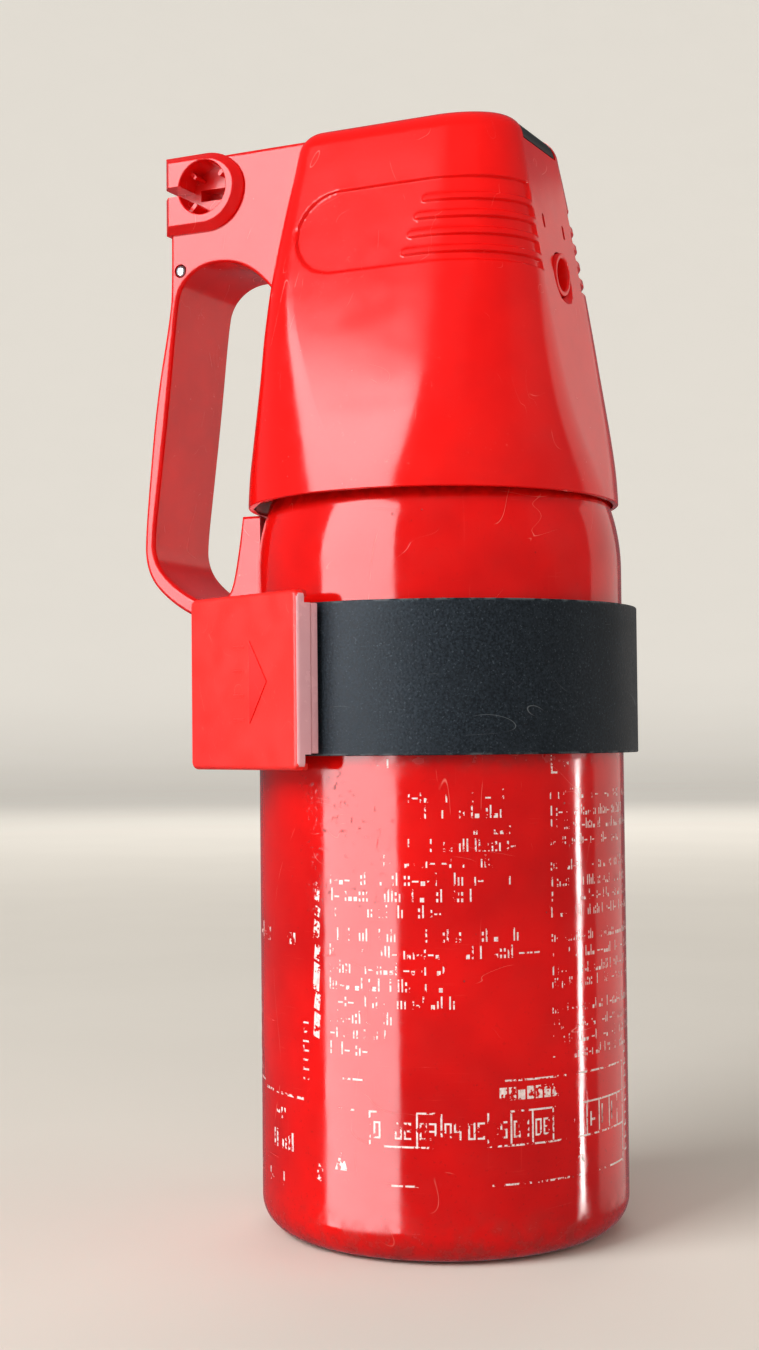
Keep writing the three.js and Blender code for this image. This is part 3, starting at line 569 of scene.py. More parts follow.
def mat_powder():
    s = Shade("powder")
    lump = s.noise(3.0, 5, 0.65)
    col = s.mix(s.ramp(lump, 0.3, 0.7), srgb(238, 233, 219), srgb(222, 215, 198))
    return s.out(col, s.ramp(lump, 0.3, 0.7, 0.9, 1.0), 0.0, s.bump(lump, 0.4), IOR=1.3)


M_PAINT = mat_paint()
M_INK = mat_ink()
M_HOOD = mat_plastic("hood_plastic", srgb(232, 16, 11), srgb(218, 11, 9), srgb(240, 92, 80), 0.12, 0.18, grain=0.0, dirt=0.12)
M_HANDLE = mat_plastic("handle_plastic", srgb(222, 20, 18), srgb(202, 13, 13), srgb(240, 110, 104), 0.16, 0.24, grain=0.05, dirt=0.16)
M_CLASP = mat_plastic("clasp_plastic", srgb(232, 30, 22), srgb(220, 24, 18), srgb(246, 120, 106), 0.34, 0.44, grain=0.25, dirt=0.14)
M_GRIP = mat_plastic("grip_plastic", srgb(228, 60, 54), srgb(214, 48, 44), srgb(246, 160, 150), 0.26, 0.36, grain=0.15, dirt=0.2)
# red clasp plastic painted pale pink: a painted reflection of the bright strip on the clasp's right-facing walls and
# grip
M_EDGE_PAINTED_REFLECTION = mat_plastic("edge_plastic_painted_reflection", srgb(232, 176, 184), srgb(222, 160, 168), srgb(246, 218, 222), 0.22, 0.32, grain=0.15, dirt=0.2)
M_ARROW = mat_plastic("arrow_plastic", srgb(228, 20, 16), srgb(214, 16, 12), srgb(240, 90, 80), 0.42, 0.50, grain=0.0, dirt=0.1, spec=0.12)
M_BLACK = mat_plastic("black_plastic", srgb(20, 20, 19), srgb(14, 14, 14), srgb(96, 94, 90), 0.34, 0.46, grain=0.5, dirt=0.1)
M_YELLOW = mat_plastic("yellow_plastic", srgb(233, 178, 16), srgb(222, 162, 12), srgb(244, 214, 110), 0.30, 0.40, grain=0.3, dirt=0.22)
M_NATURAL = mat_plastic("natural_plastic", srgb(218, 216, 206), srgb(206, 203, 190), srgb(232, 230, 224), 0.40, 0.5, grain=0.3, dirt=0.1)
M_COAT = mat_powder_coat()
M_STEEL = mat_metal("steel", (0.58, 0.59, 0.60), (0.46, 0.47, 0.48), 0.22, 0.34, (0.2, 6.0, 6.0))
M_ZINC = mat_metal("zinc_steel", (0.50, 0.51, 0.52), (0.38, 0.39, 0.41), 0.34, 0.50, (1.0, 1.0, 1.0), srgb(150, 150, 146))
M_BRASS = mat_metal("brass", (0.66, 0.48, 0.20), (0.50, 0.35, 0.14), 0.26, 0.42, (1.0, 1.0, 1.0), srgb(110, 84, 44))
M_RUBBER = mat_rubber()
M_POWDER = mat_powder()


# =====================================================================  pressure cylinder
R = 44.975
N_TURN = 288


def dome(z, off=0.0):
    q = max(0.0, 1 - ((z - 160.0) / (38.0 - off)) ** 2)
    return 15 + (R - 15 - off) * math.sqrt(q)


outer = [(0, 0.02), (6, 0.02), (12, 0.02)]
outer += [(12.5, 0.12), (13.3, 1.0), (13.9, 1.18), (18, 1.2), (22.1, 1.18), (22.7, 1.0), (23.5, 0.12), (24.0, 0.02), (30, 0.02), (R - 8.6, 0.02)]
outer += arc(R - 8, 8.02, 8.0, -90, 0, 18)
outer += [(R, z) for z in np.linspace(10.5, 160, 64)]
outer += [(dome(z), z) for z in [161.5, 163, 165, 167, 169.5, 172, 174.5, 177, 180, 183, 186, 189, 191.5, 193.5, 195, 196.2, 197.1]]
outer += [(15.9, 197.75), (15.3, 197.95), (15.0, 197.9)]
inner = [(15.0, 196.4), (dome(194.6, 1.5), 194.6), (dome(191, 1.5), 191), (dome(186, 1.5), 186), (dome(180, 1.5), 180), (dome(171, 1.5), 171),
         (R - 1.5, 160), (R - 1.5, 8.02)]
inner += arc(R - 8, 8.02, 6.5, 0, -90, 6)[1:-1] + [(26, 2.7), (0, 2.7)]
shell = lathe("shell", outer + inner, N_TURN, closed=False, sharp=40)
finish_piece(shell, "shell_visual", M_PAINT, "cylinder", "red_paint", "cylinder_shell")

# ---- print: generic bars, rules, a check grid and arrows, no lettering
rng = random.Random(41)
P_R = 44.992
p_verts, p_faces = [], []


def on_shell(phi, z):
    a = rad(phi + 24.0)
    return (P_R * math.sin(a), -P_R * math.cos(a), z)


def patch_quad(c00, c10, c11, c01):
    """Four (phi, z) corners laid on the shell, split so that it follows the curve."""
    span = max(abs(c10[0] - c00[0]), abs(c11[0] - c01[0]))
    n = max(1, int(math.ceil(span / 1.25)))
    base = len(p_verts)
    for i in range(n + 1):
        t = i / n
        p_verts.append(on_shell(c00[0] + (c10[0] - c00[0]) * t, c00[1] + (c10[1] - c00[1]) * t))
        p_verts.append(on_shell(c01[0] + (c11[0] - c01[0]) * t, c01[1] + (c11[1] - c01[1]) * t))
    for i in range(n):
        a = base + 2 * i
        p_faces.append((a, a + 2, a + 3, a + 1))


DEG = math.degrees(1 / 45.0)      # degrees per mm of arc


def bar(phi, z, w, h):
    """w mm wide, h mm tall, its lower left corner at phi, z."""
    patch_quad((phi, z), (phi + w * DEG, z), (phi + w * DEG, z + h), (phi, z + h))


def sign(phi, z, h, w, stroke):
    """One abstract mark: a lone tick, dash or block, never joined to another. Returns its width."""
    kind = rng.randint(0, 6)
    if kind <= 1:
        bar(phi, z, stroke, h)
        return stroke
    if kind <= 3:
        bar(phi, z, stroke, h * 0.64)
        return stroke
    if kind == 4:
        bar(phi, z + h * 0.26, w * 0.8, stroke)
        return w * 0.8
    if kind == 5:
        bar(phi, z, w * 0.55, h * 0.34)
        return w * 0.55
    bar(phi, z, stroke * 1.2, h * 0.26)
    bar(phi, z + h * 0.5, stroke * 1.2, h * 0.26)
    return stroke * 1.2


def words(phi0, phi1, z, h=2.9, stroke=0.46, gone=0.12, w_scale=1.0):
    """A run of abstract words between two angles."""
    phi = phi0
    while phi < phi1 - 1.2:
        for _ in range(rng.randint(2, 8)):
            w = h * rng.uniform(0.50, 0.66) * w_scale
            if phi + w * DEG > phi1:
                phi = phi1
                break
            used = w
            if rng.random() > gone:
                used = sign(phi, z, h, w, stroke)
            phi += (used + h * 0.17) * DEG
        phi += h * 0.36 * DEG


for a, b, z, g in [(-9.7, 20.2, 105.7, 0.34), (-8.8, 19.7, 102.1, 0.16), (8.0, 22.1, 98.4, 0.3), (-9.9, 22.6, 94.6, 0.3), (-17.2, 18.0, 91.0, 0.22),
                   (-35, 24, 87.0, 0.32), (-34.5, 19.9, 83.3, 0.28), (-33.3, 3.0, 79.7, 0.3), (-35.2, 24.8, 74.3, 0.24), (-35.3, 29.6, 70.5, 0.3),
                   (-35.3, 2.9, 66.9, 0.25), (-35.4, 6.5, 63.1, 0.3), (-35.4, 5.1, 59.3, 0.18), (-35.5, -12.8, 55.6, 0.05), (-35.3, -14.2, 52.2, 0.05),
                   (-35.3, -22.3, 48.4, 0.15)]:
    words(a, b, z - 1.35, 2.9, 0.36, g * 0.8)
rows = [105.8, 101.9, 98.8, 95.3, 89.5, 85.7, 82.3, 78.8, 73.2, 69.4, 65.6, 62.6, 57.0, 53.2, 49.8, 46.4]
for i, z in enumerate(rows):
    start = 33.4 if i % 4 in (0, 3) else 35.6
    stop = [92, 76, 84, 74, 96, 78, 100, 90, 97, 99, 95, 101, 103, 98, 100, 104][i]
    words(start, stop, z - 1.1, 2.35, 0.30, 0.10 if i else 0.2)
    if i % 4 in (1, 2):
        bar(33.6, z - 1.0, 0.4, 2.2)
# upper corner bracket, partly under the strap
bar(33.9, 110.5, 0.45, 4.2); bar(33.9, 110.5, 2.6, 0.45); bar(38.6, 111.0, 1.6, 2.2)
words(-19, -14, 112.2, 2.0, 0.4, 0.2)
# upright bold bar, broken by wear, and a small upright run beside it
for z0, z1, off in [(50.6, 56.2, 0.0), (57.0, 60.8, 0.35), (61.4, 67.6, 0.0), (68.3, 72.2, 0.5), (73.0, 77.4, 0.2), (78.4, 80.6, 0.9), (82.0, 86.0, 0.9)]:
    patch_quad((-42.0 + off, z0), (-39.6 + off * 0.3, z0 - 0.6), (-39.0 + off * 0.3, z1 - 0.8), (-41.4 + off, z1))
for k in range(7):
    zz = 40.2 + k * 2.15
    bar(-46.6, zz, 2.0, 0.42)
    if k % 2:
        bar(-46.6, zz, 0.42, 1.4)
# left-hand fragments
words(-84, -44.7, 71.0, 4.2, 0.8, 0.15)
for k in range(26):
    a0, a1 = rad(-78 + 156 * k / 26), rad(-78 + 156 * (k + 1) / 26)
    c = -92.0
    patch_quad((c + 8.4 * math.cos(a0) * DEG, 53 + 8.4 * math.sin(a0)), (c + 9.3 * math.cos(a0) * DEG, 53 + 9.3 * math.sin(a0)),
               (c + 9.3 * math.cos(a1) * DEG, 53 + 9.3 * math.sin(a1)), (c + 8.4 * math.cos(a1) * DEG, 53 + 8.4 * math.sin(a1)))
for k in range(4):
    bar(-84 + 1.9 * k, 39.0, 0.7, 4.6)
bar(-84, 36.9, 9.0, 0.6)
patch_quad((-71, 35.5), (-46.5, 35.3), (-46.5, 35.9), (-71, 36.1))
words(-62, -48.0, 29.8, 4.0, 0.75, 0.15)
words(-64, -48.0, 22.8, 4.2, 0.75, 0.15)
words(-82, -40.0, 14.2, 3.2, 0.55, 0.35)
patch_quad((-41.5, 18.2), (-38.8, 17.2), (-38.6, 20.4), (-40.2, 21.6))
# check grid with year boxes
RULE = 0.42
for a, b in [(-31, -28.4), (-27.6, -24.4), (17.6, 38.2), (39.4, 69.8)]:
    patch_quad((a, 41.4), (b, 41.4), (b, 41.4 + RULE), (a, 41.4 + RULE))
for k in range(7):
    bar(15.9 + k * 2.85, 37.2, 1.75, 2.9 if k not in (2,) else 2.2)
for a, b in [(-32.5, -27.2), (-22.5, -19), (-8.2, -1.4), (19.1, 32.9), (33.4, 69.8)]:
    patch_quad((a, 34.5), (b, 34.5), (b, 34.5 + RULE), (a, 34.5 + RULE))
for a, b in [(-18.0, -1.4), (12.2, 26.0), (26.4, 40.0), (41.4, 69.8)]:
    patch_quad((a, 26.9), (b, 26.9), (b, 26.9 + RULE), (a, 26.9 + RULE))
for a in (-22.5, -8.3, -1.3, 12.2, 19.1, 25.9, 32.9, 46.5, 52.6, 58.6, 64.4):
    bar(a, 27.0, RULE, 7.6)
bar(69.6, 17.6, RULE, 24.1)
for a, b in [(-15.7, -12.3), (-11.6, -7.1), (13.5, 26.5), (27.6, 44.0), (45.5, 69.8)]:
    patch_quad((a, 18.2), (b, 18.2), (b, 18.2 + RULE), (a, 18.2 + RULE))
SEG = {"0": "abcdef", "1": "bc", "2": "abged", "3": "abgcd", "4": "fgbc", "5": "afgcd", "6": "afgedc", "7": "abc", "8": "abcdefg"}


def digit(ch, phi, z, w=1.65, h=3.8, t=0.42):
    m = h / 2
    at = {"a": (0, h - t, w, t), "g": (0, m - t / 2, w, t), "d": (0, 0, w, t), "f": (0, m, t, m), "b": (w - t, m, t, m), "e": (0, 0, t, m), "c": (w - t, 0, t, m)}
    for key in SEG[ch]:
        x, y, ww, hh = at[key]
        bar(phi + x * DEG, z + y, ww, hh)


for text, phi in [("0", -21.0), ("02", -14.6), ("03", -7.3), ("04", -0.2), ("05", 6.6), ("06", 13.3), ("07", 20.1), ("08", 27.0)]:
    for i, ch in enumerate(text):
        digit(ch, phi + i * 2.15 * DEG, 28.8)
for phi in (41.2, 48.3, 54.2, 60.2):
    sign(phi, 29.0, 4.4, 2.3, 0.55)
    bar(phi, 29.0, 0.55, 3.3)
for phi, z in ((-31.8, 20.8), (43.5, 21.0)):
    patch_quad((phi - 2.2, z), (phi + 2.2, z), (phi + 0.08, z + 4.6), (phi - 0.08, z + 4.6))
# small column at the right edge of the grid
for k in range(9):
    bar(72.2, 20.0 + k * 2.9, 2.2, 0.45)
    bar(72.2 + 1.3 * DEG, 20.0 + k * 2.9, 0.45, 1.5)
pr = new_object("print", p_verts, p_faces, None)
bm = bmesh.new(); bm.from_mesh(pr.data)
for f in bm.faces:
    c = f.calc_center_median()
    if f.normal.x * c.x + f.normal.y * c.y < 0:
        f.normal_flip()
bm.to_mesh(pr.data); bm.free()
finish_piece(pr, "print_marks", M_INK, "cylinder", "red_paint")


# =====================================================================  hood
HOOD = np.array([
    [165, 44.6, 47.2, 46.2, 0.8, 0.5, 45], [175.9, 44.2, 46.7, 46.0, 0.8, 0.5, 44], [183, 42.9, 44.6, 45.2, 4, 3, 39],
    [190, 41.2, 41.9, 43.9, 7.5, 5, 33], [198, 39.4, 39.0, 41.9, 10, 7, 26], [207, 37.6, 36.6, 39.6, 11.5, 8.5, 20],
    [218, 35.7, 34.4, 36.8, 12.5, 9, 14], [230, 33.67, 32.5, 33.7, 13, 9, 10], [240, 31.98, 31.0, 31.0, 13, 9, 8],
    [250, 30.29, 29.6, 28.3, 12.3, 9, 7], [258, 28.93, 28.4, 26.2, 11.5, 9, 6.5], [263.5, 28.0, 27.7, 24.7, 10.9, 9, 6],
    [268.5, 27.2, 27.0, 23.3, 10.9, 9, 6]], float)


def monotone(x, y):
    """Piecewise cubic through (x, y) without overshoot."""
    h = np.diff(x)
    d = np.diff(y) / h
    m = np.zeros(len(x))
    m[0], m[-1] = d[0], d[-1]
    for i in range(1, len(x) - 1):
        if d[i - 1] * d[i] > 0:
            w1, w2 = 2 * h[i] + h[i - 1], h[i] + 2 * h[i - 1]
            m[i] = (w1 + w2) / (w1 / d[i - 1] + w2 / d[i])

    def f(t):
        i = int(min(max(np.searchsorted(x, t) - 1, 0), len(h) - 1))
        u = (t - x[i]) / h[i]
        return ((2 * u**3 - 3 * u**2 + 1) * y[i] + (u**3 - 2 * u**2 + u) * h[i] * m[i] + (-2 * u**3 + 3 * u**2) * y[i + 1] + (u**3 - u**2) * h[i] * m[i + 1])
    return f


HOOD_F = [monotone(HOOD[:, 0], HOOD[:, k]) for k in range(1, 7)]


def hood_section(z, off, counts):
    """Half section (Y <= 0) from the front middle to the rear middle, (x, y) and outward normal."""
    nf, ne, ns, nc, nr = counts
    xf, xr, hy, yf, xc, rr = (f(z) for f in HOOD_F)
    xf, xr, hy = xf - off, xr - off, hy - off
    rr = max(1.2, rr - off)
    yf = min(yf, hy - 1)
    pts, nrm = [], []
    for i in range(nf):
        pts.append((xf, -yf * i / nf)); nrm.append((1, 0))
    ax, ay = xf - xc, hy - yf
    # even steps along the ellipse
    aa = np.linspace(0, math.pi / 2, 400)
    ex, ey = xc + ax * np.cos(aa), -(yf + ay * np.sin(aa))
    ll = np.concatenate([[0], np.cumsum(np.hypot(np.diff(ex), np.diff(ey)))])
    for i in range(ne):
        a = np.interp(ll[-1] * i / ne, ll, aa)
        pts.append((xc + ax * math.cos(a), -(yf + ay * math.sin(a))))
        v = np.array([math.cos(a) / ax, -math.sin(a) / ay]); v /= np.linalg.norm(v)
        nrm.append(tuple(v))
    x1 = -(xr - rr)
    for i in range(ns):
        pts.append((xc + (x1 - xc) * i / ns, -hy)); nrm.append((0, -1))
    for i in range(nc):
        a = rad(90 * i / nc)
        pts.append((x1 - rr * math.sin(a), -(hy - rr) - rr * math.cos(a))); nrm.append((-math.sin(a), -math.cos(a)))
    for i in range(nr + 1):
        pts.append((-xr, -(hy - rr) * (1 - i / nr))); nrm.append((-1, 0))
    return pts, nrm


def smooth01(t):
    t = min(1.0, max(0.0, t))
    return t * t * (3 - 2 * t)


RIB_Z = [245.7, 241.3, 236.9, 232.5]
RIB_X = [9.5, 8.0, 6.8, 5.6]


def stadium_depth(x, z, x0, zc, r):
    """Signed distance inside a bar that starts at x0 with a round end and runs to the front."""
    cx = x0 + r
    if x < cx:
        return r - math.hypot(x - cx, z - zc)
    return r - abs(z - zc)


def recess(x, y, z):
    if z < 228 or z > 252:
        return 0.0
    e = 0.30
    d = smooth01((stadium_depth(x, z, -23, 240.1, 10.5) + e) / (2 * e))
    if d <= 0:
        return 0.0
    d *= smooth01((abs(y) - 13.02) / 0.75)
    for zr, x0 in zip(RIB_Z, RIB_X):
        d *= 1 - smooth01((stadium_depth(x, z, x0, zr, 0.85) + e) / (2 * e))
    return 0.8 * d


def hood_loft(name, off, z0, z1, edge, counts, rows, detail=False, rim=0.0):
    top = z1 - edge
    levels = []
    if rim:
        for k in range(3):
            a = rad(30 * k)
            levels.append((z0, off + rim * (1 - math.sin(a)), z0 + rim * (1 - math.cos(a))))
    levels += [(z, off, z) for z in rows if z0 + rim - 1e-6 <= z < top - 1e-6]
    steps = 12 if detail else 4
    for k in range(steps + 1):
        a = rad(90 * k / steps)
        z = top + edge * math.sin(a)
        levels.append((z if edge else z1, off + edge * (1 - math.cos(a)), z))
    rings = []
    for zt, o, z in levels:
        pts, nrm = hood_section(zt, o, counts)
        ring = []
        for (x, y), (nx, ny) in zip(pts, nrm):
            d = recess(x, y, z) if detail else 0.0
            ring.append((x - nx * d, y - ny * d))
        full = ring + [(x, -y) for x, y in ring[-2:0:-1]]
        rings.append([(x, y, z) for x, y in full])
    verts, faces = [], []
    n = len(rings[0])
    for r in rings:
        verts += r
    for k in range(len(rings) - 1):
        for i in range(n):
            a, b = k * n + i, k * n + (i + 1) % n
            faces.append((a, b, b + n, a + n))
    # top closed by shrinking rings so that it shades evenly
    last = len(rings) - 1
    cx, cy, cz = np.mean(np.array(rings[last]), 0)
    prev = last * n
    for f in (0.8, 0.5, 0.2):
        start = len(verts)
        for x, y, z in rings[last]:
            verts.append((cx + (x - cx) * f, cy + (y - cy) * f, z))
        for i in range(n):
            a, b = prev + i, prev + (i + 1) % n
            faces.append((a, b, start + (i + 1) % n, start + i))
        prev = start
    c = len(verts)
    verts.append((cx, cy, rings[last][0][2]))
    for i in range(n):
        faces.append((prev + i, prev + (i + 1) % n, c))
    c = len(verts)
    b0 = np.mean(np.array(rings[0]), 0)
    verts.append(tuple(b0))
    for i in range(n):
        faces.append(((i + 1) % n, i, c))
    return outward(new_object(name, verts, faces, 40))


rows = list(np.linspace(175.9, 228.6, 38))
marks = [229.6, 250.6]
for zr in RIB_Z:
    marks += [zr - 0.85, zr + 0.85]
panel = set()
for m in marks:
    for d in (-0.3, -0.15, 0.0, 0.15, 0.3):
        panel.add(round(m + d, 4))
for z in np.arange(229.0, 251.6, 0.42):
    if min(abs(z - p) for p in panel) > 0.24:
        panel.add(round(float(z), 4))
rows += sorted(panel) + list(np.linspace(252.2, 263.3, 9))
hood = hood_loft("hood", 0.02, 175.9, 268.5, 5.0, (14, 78, 88, 16, 10), rows, True, 0.45)
verts, faces = [], []
rings = []
for z in [174, 177, 180, 183, 186, 190, 195, 201, 207, 212, 218, 224, 230, 240, 250, 258, 265.8]:
    w = 1.25 if z <= 177 else 1.25 + (z - 177) / 8 if z < 184.6 else 2.2
    pts, _ = hood_section(max(z, 175.9), w, (3, 14, 8, 6, 3))
    rings.append([(x, y, z) for x, y in pts + [(x, -y) for x, y in pts[-2:0:-1]]])
n = len(rings[0])
for r in rings:
    verts += r
for k in range(len(rings) - 1):
    for i in range(n):
        a, b = k * n + i, k * n + (i + 1) % n
        faces.append((a, b, b + n, a + n))
faces.append(tuple(range(n)))
faces.append(tuple(range((len(rings) - 1) * n, len(rings) * n)))
cavity = new_object("cavity", verts, faces, None)
# channel with a softened rim; the rim flare follows the flat top
w = 10.95
prof = [(-w, 262.5), (w, 262.5), (w, 268.02), (w + 0.06, 268.25), (w + 0.22, 268.42), (w + 0.48, 268.49), (w + 0.5, 275),
        (-w - 0.5, 275), (-w - 0.48, 268.49), (-w - 0.22, 268.42), (-w - 0.06, 268.25), (-w, 268.02)]
channel = slab("channel", prof, -25.2, 45, frame3=YZ)
hole = turned([(5.55, 22), (5.55, 33.06), (5.72, 33.38), (6.3, 33.9), (7.2, 34.6), (7.2, 45)], (0, 231), "X", 72)
cut = [cavity, channel, hole]
for s_ in (-1, 1):
    cut.append(slab("slot", tidy(arc(s_ * 6.7, 244.15, 0.65, 0, 180, 8) + arc(s_ * 6.7, 241.85, 0.65, 180, 360, 8), 0.02), 24, 45, frame3=YZ))
carve(hood, cut)
ears = [slab("ear", [(19.4, 261), (24.6, 261), (24.6, 266.5), (19.4, 266.5)], s_ * 12.8 - 1.83, s_ * 12.8 + 1.83, frame3=XZ) for s_ in (-1, 1)]
carve(hood, ears, "UNION")
carve(hood, [turned([(1.55, -13.4), (1.55, 13.4)], (22, 263.8), "Y", 24)])
settle(hood, 34)
finish_piece(hood, "hood_visual", M_HOOD, "cylinder", "red_plastic", "hood_shell")

# nozzle insert with a rounded lip and a stepped bore
nz = turned([(2.6, 26.45), (4.9, 26.45), (5.18, 26.7), (5.18, 33.55), (5.08, 33.8), (4.85, 33.88), (4.3, 33.88), (4.0, 33.74), (3.82, 33.4), (3.8, 28.4), (3.6, 28.2), (2.6, 28.2)], (0, 231), "X", 64)
bm = bmesh.new(); bm.from_mesh(nz.data)
big = [f for f in bm.faces if len(f.verts) > 10]
bmesh.ops.delete(bm, geom=big, context="FACES_ONLY")
loops = [e for e in bm.edges if len(e.link_faces) == 1]
bmesh.ops.bridge_loops(bm, edges=loops)
bmesh.ops.recalc_face_normals(bm, faces=bm.faces)
bm.to_mesh(nz.data); bm.free()
nz.data.shade_smooth(); nz.data.set_sharp_from_angle(angle=rad(40))
finish_piece(nz, "nozzle_visual", M_HOOD, "cylinder", "red_plastic", "nozzle_insert")


# =====================================================================  handle
OUT = [(-20, 268.9), (-66, 268.9), (-68.2, 268.0), (-69, 265.6), (-69, 236), (-69.7, 228.5), (-73.8, 207.9), (-76.2, 186), (-77.6, 170.8),
       (-77.4, 165.4), (-75.7, 160.6), (-72.2, 156.6), (-66.5, 152.4), (-60, 149.4), (-54, 148.4), (-38, 148.4),
       (-38, 175.5), (-48.4, 175.5), (-49.6, 167), (-51.2, 158.6), (-52.6, 155.6), (-55.2, 153.9), (-58.8, 153.9), (-63, 155.4), (-68, 158.5),
       (-72.2, 162.4), (-74.2, 166.2), (-74.8, 170.7), (-72.6, 187.5), (-70, 207.6), (-67.4, 231.8), (-66, 236), (-63.2, 239), (-59.6, 240.8),
       (-55.6, 241.4), (-50.6, 240.9), (-46.2, 239), (-42.4, 236), (-39, 232.4), (-35.6, 227.2), (-20, 227.2)]
keep = {OUT.index(p) for p in [(-20, 268.9), (-38, 148.4), (-38, 175.5), (-48.4, 175.5), (-20, 227.2)]}
smooth_out = tidy(chaikin(OUT, 3, keep), 0.25)
handle = slab("handle", smooth_out, -14.2, 14.2, 1.15, 6, XZ, 40)
PX, PZ = -57.7, 260.4
d_out = [(-69.7, PZ + 9.3)] + [(PX + 10.9 * math.cos(rad(a)), PZ + (9.3 if a > 0 else 10.9) * math.sin(rad(a))) for a in np.linspace(90, -90, 37)] + [(-69.7, PZ - 10.9)]


def inset(pts, off):
    """Outline drawn in by off along its own normals."""
    if area2(pts) < 0:
        pts = pts[::-1]
    p = np.array(pts)
    d = np.roll(p, -1, 0) - p
    d /= np.maximum(1e-9, np.linalg.norm(d, axis=1))[:, None]
    nn = np.stack([d[:, 1], -d[:, 0]], 1)
    pv = np.roll(nn, 1, 0)
    mt = (nn + pv) / np.maximum(0.35, 1 + (nn * pv).sum(1))[:, None]
    return [tuple(v) for v in p - mt * off]


def boss(outline, steps):
    """Stack of the same outline at growing insets: [(y, inset)]."""
    base = tidy(outline, 0.2)
    verts, faces = [], []
    n = len(inset(base, 0))
    for y, off in steps:
        verts += [(x, y, z) for x, z in inset(base, off)]
    for k in range(len(steps) - 1):
        for i in range(n):
            a, b = k * n + i, k * n + (i + 1) % n
            faces.append((a, b, b + n, a + n))
    faces.append(tuple(range(n)))
    faces.append(tuple(range((len(steps) - 1) * n, len(steps) * n)))
    ob = new_object("boss", verts, faces)
    return outward(ob)


b = boss(d_out, [(-9, 0.0), (-14.75, 0.0), (-14.95, 0.1), (-16.75, 1.62), (-17.02, 1.86), (-17.17, 2.15)])
carve(handle, [b], "UNION")
# pocket with a softened mouth, four short ribs, side slit and a slotted floor
pocket = turned([(7.5, -22), (7.5, -17.3), (7.12, -17.12), (6.9, -16.85), (6.85, -16.5), (6.85, -9.2)], (PX, PZ), "Y", 96)
carve(handle, [pocket])
ribs = []
for a in (45, 135, 225, 315):
    ca, sa = math.cos(rad(a)), math.sin(rad(a))
    pts = []
    for u, v in [(4.75, -0.32), (4.95, -0.48), (7.4, -0.55), (7.4, 0.55), (4.95, 0.48), (4.75, 0.32)]:
        pts.append((PX + u * ca - v * sa, PZ + u * sa + v * ca))
    ribs.append(slab("rib", pts, -14.3, -9.0, frame3=XZ))
carve(handle, ribs, "UNION")
carve(handle, [box_cutter(-75, PX - 4, -20, -9.2, PZ - 1.6, PZ + 1.0), box_cutter(-62.6, -52.8, -10, -4.4, PZ - 1.5, PZ + 1.5)])
hood_cut = hood_loft("hood_cut", -0.33, 175.6, 272, 3.0, (3, 16, 8, 8, 3), list(np.linspace(176, 268, 26)))
cyl_cut = turned([(45.33, 140), (45.33, 180)], (0, 0), "Z", 160)
carve(handle, [hood_cut, cyl_cut])
carve(handle, [turned([(1.8, -22), (1.8, 22)], (-66, 240.2), "Y", 36)])
for z in (243.5, 254.5):
    carve(handle, [turned([(1.75, -44), (1.75, -15)], (0, z), "X", 24)])
settle(handle, 32)
finish_piece(handle, "handle_visual", M_HANDLE, "cylinder", "red_plastic", "handle_frame")

# cross pin with domed ends
pin = turned([(0.35, -14.5), (0.9, -14.42), (1.3, -14.22), (1.5, -13.9), (1.5, 13.9), (1.3, 14.22), (0.9, 14.42), (0.35, 14.5)], (-66, 240.2), "Y", 40)
finish_piece(pin, "cross_pin_visual", M_STEEL, "cylinder", "steel", "handle_cross_pin")


# =====================================================================  operating button and safety tab
BT = [(-14.4, 267.2), (-13.6, 268.0), (19, 268.2), (23.4, 268.0), (25.6, 267.2), (27.0, 265.8), (27.7, 264.3), (27.95, 262.9),
      (25.6, 262.9), (25.4, 261.0), (24.2, 260.3), (20.2, 260.3), (19.0, 261.4), (18.4, 265.4), (-12.4, 265.4), (-12.4, 262.6), (-14.4, 262.6)]
keep = {i for i, p in enumerate(BT) if p in [(27.95, 262.9), (25.6, 262.9), (-14.4, 262.6), (-12.4, 262.6), (-12.4, 265.4), (18.4, 265.4)]}
button = slab("button", tidy(chaikin(BT, 3, keep), 0.08), -10.6, 10.6, 0.5, 4, XZ, 38)
press = slab("press", [(-3.0, 255.35), (3.0, 255.35), (3.3, 266.6), (-3.3, 266.6)], -4.5, 4.5, frame3=XZ)
carve(button, [press], "UNION")
carve(button, [turned([(1.55, -15), (1.55, 15)], (22, 263.8), "Y", 24)])
# five shallow grooves across the press area
grooves = []
for x in (-11.2, -8.7, -6.2, -3.7, -1.2):
    grooves.append(slab("groove", [(x - 0.7, 268.6), (x - 0.28, 267.78), (x + 0.28, 267.78), (x + 0.7, 268.6)], -8.2, 8.2, frame3=XZ))
carve(button, grooves)
settle(button, 34)
finish_piece(button, "button_visual", M_BLACK, "button", "black_plastic", "operating_button")

TAB = [(-24.6, 262.8), (-15.6, 262.8), (-15.6, 266.6), (-16.4, 267.6), (-23.8, 267.6), (-24.6, 266.6)]
tab = slab("tab", tidy(chaikin(TAB, 2, {0, 1}), 0.08), -9.6, 9.6, 0.45, 4, XZ, 38)
blade = slab("blade", [(-22.4, 253.5), (-19.9, 253.5), (-19.9, 264.2), (-22.4, 264.2)], -6.5, 6.5, 0.3, 2, XZ)
more = [blade]
for x in (-22.3, -20.1, -17.9):
    more.append(slab("ridge", arc(x, 267.5, 0.55, 0, 180, 8) + [(x - 0.5, 266.6), (x + 0.5, 266.6)], -7.6, 7.6, 0.2, 2, XZ))
carve(tab, more, "UNION")
settle(tab, 34)
finish_piece(tab, "safety_tab_visual", M_YELLOW, "safety", "yellow_plastic", "safety_tab")


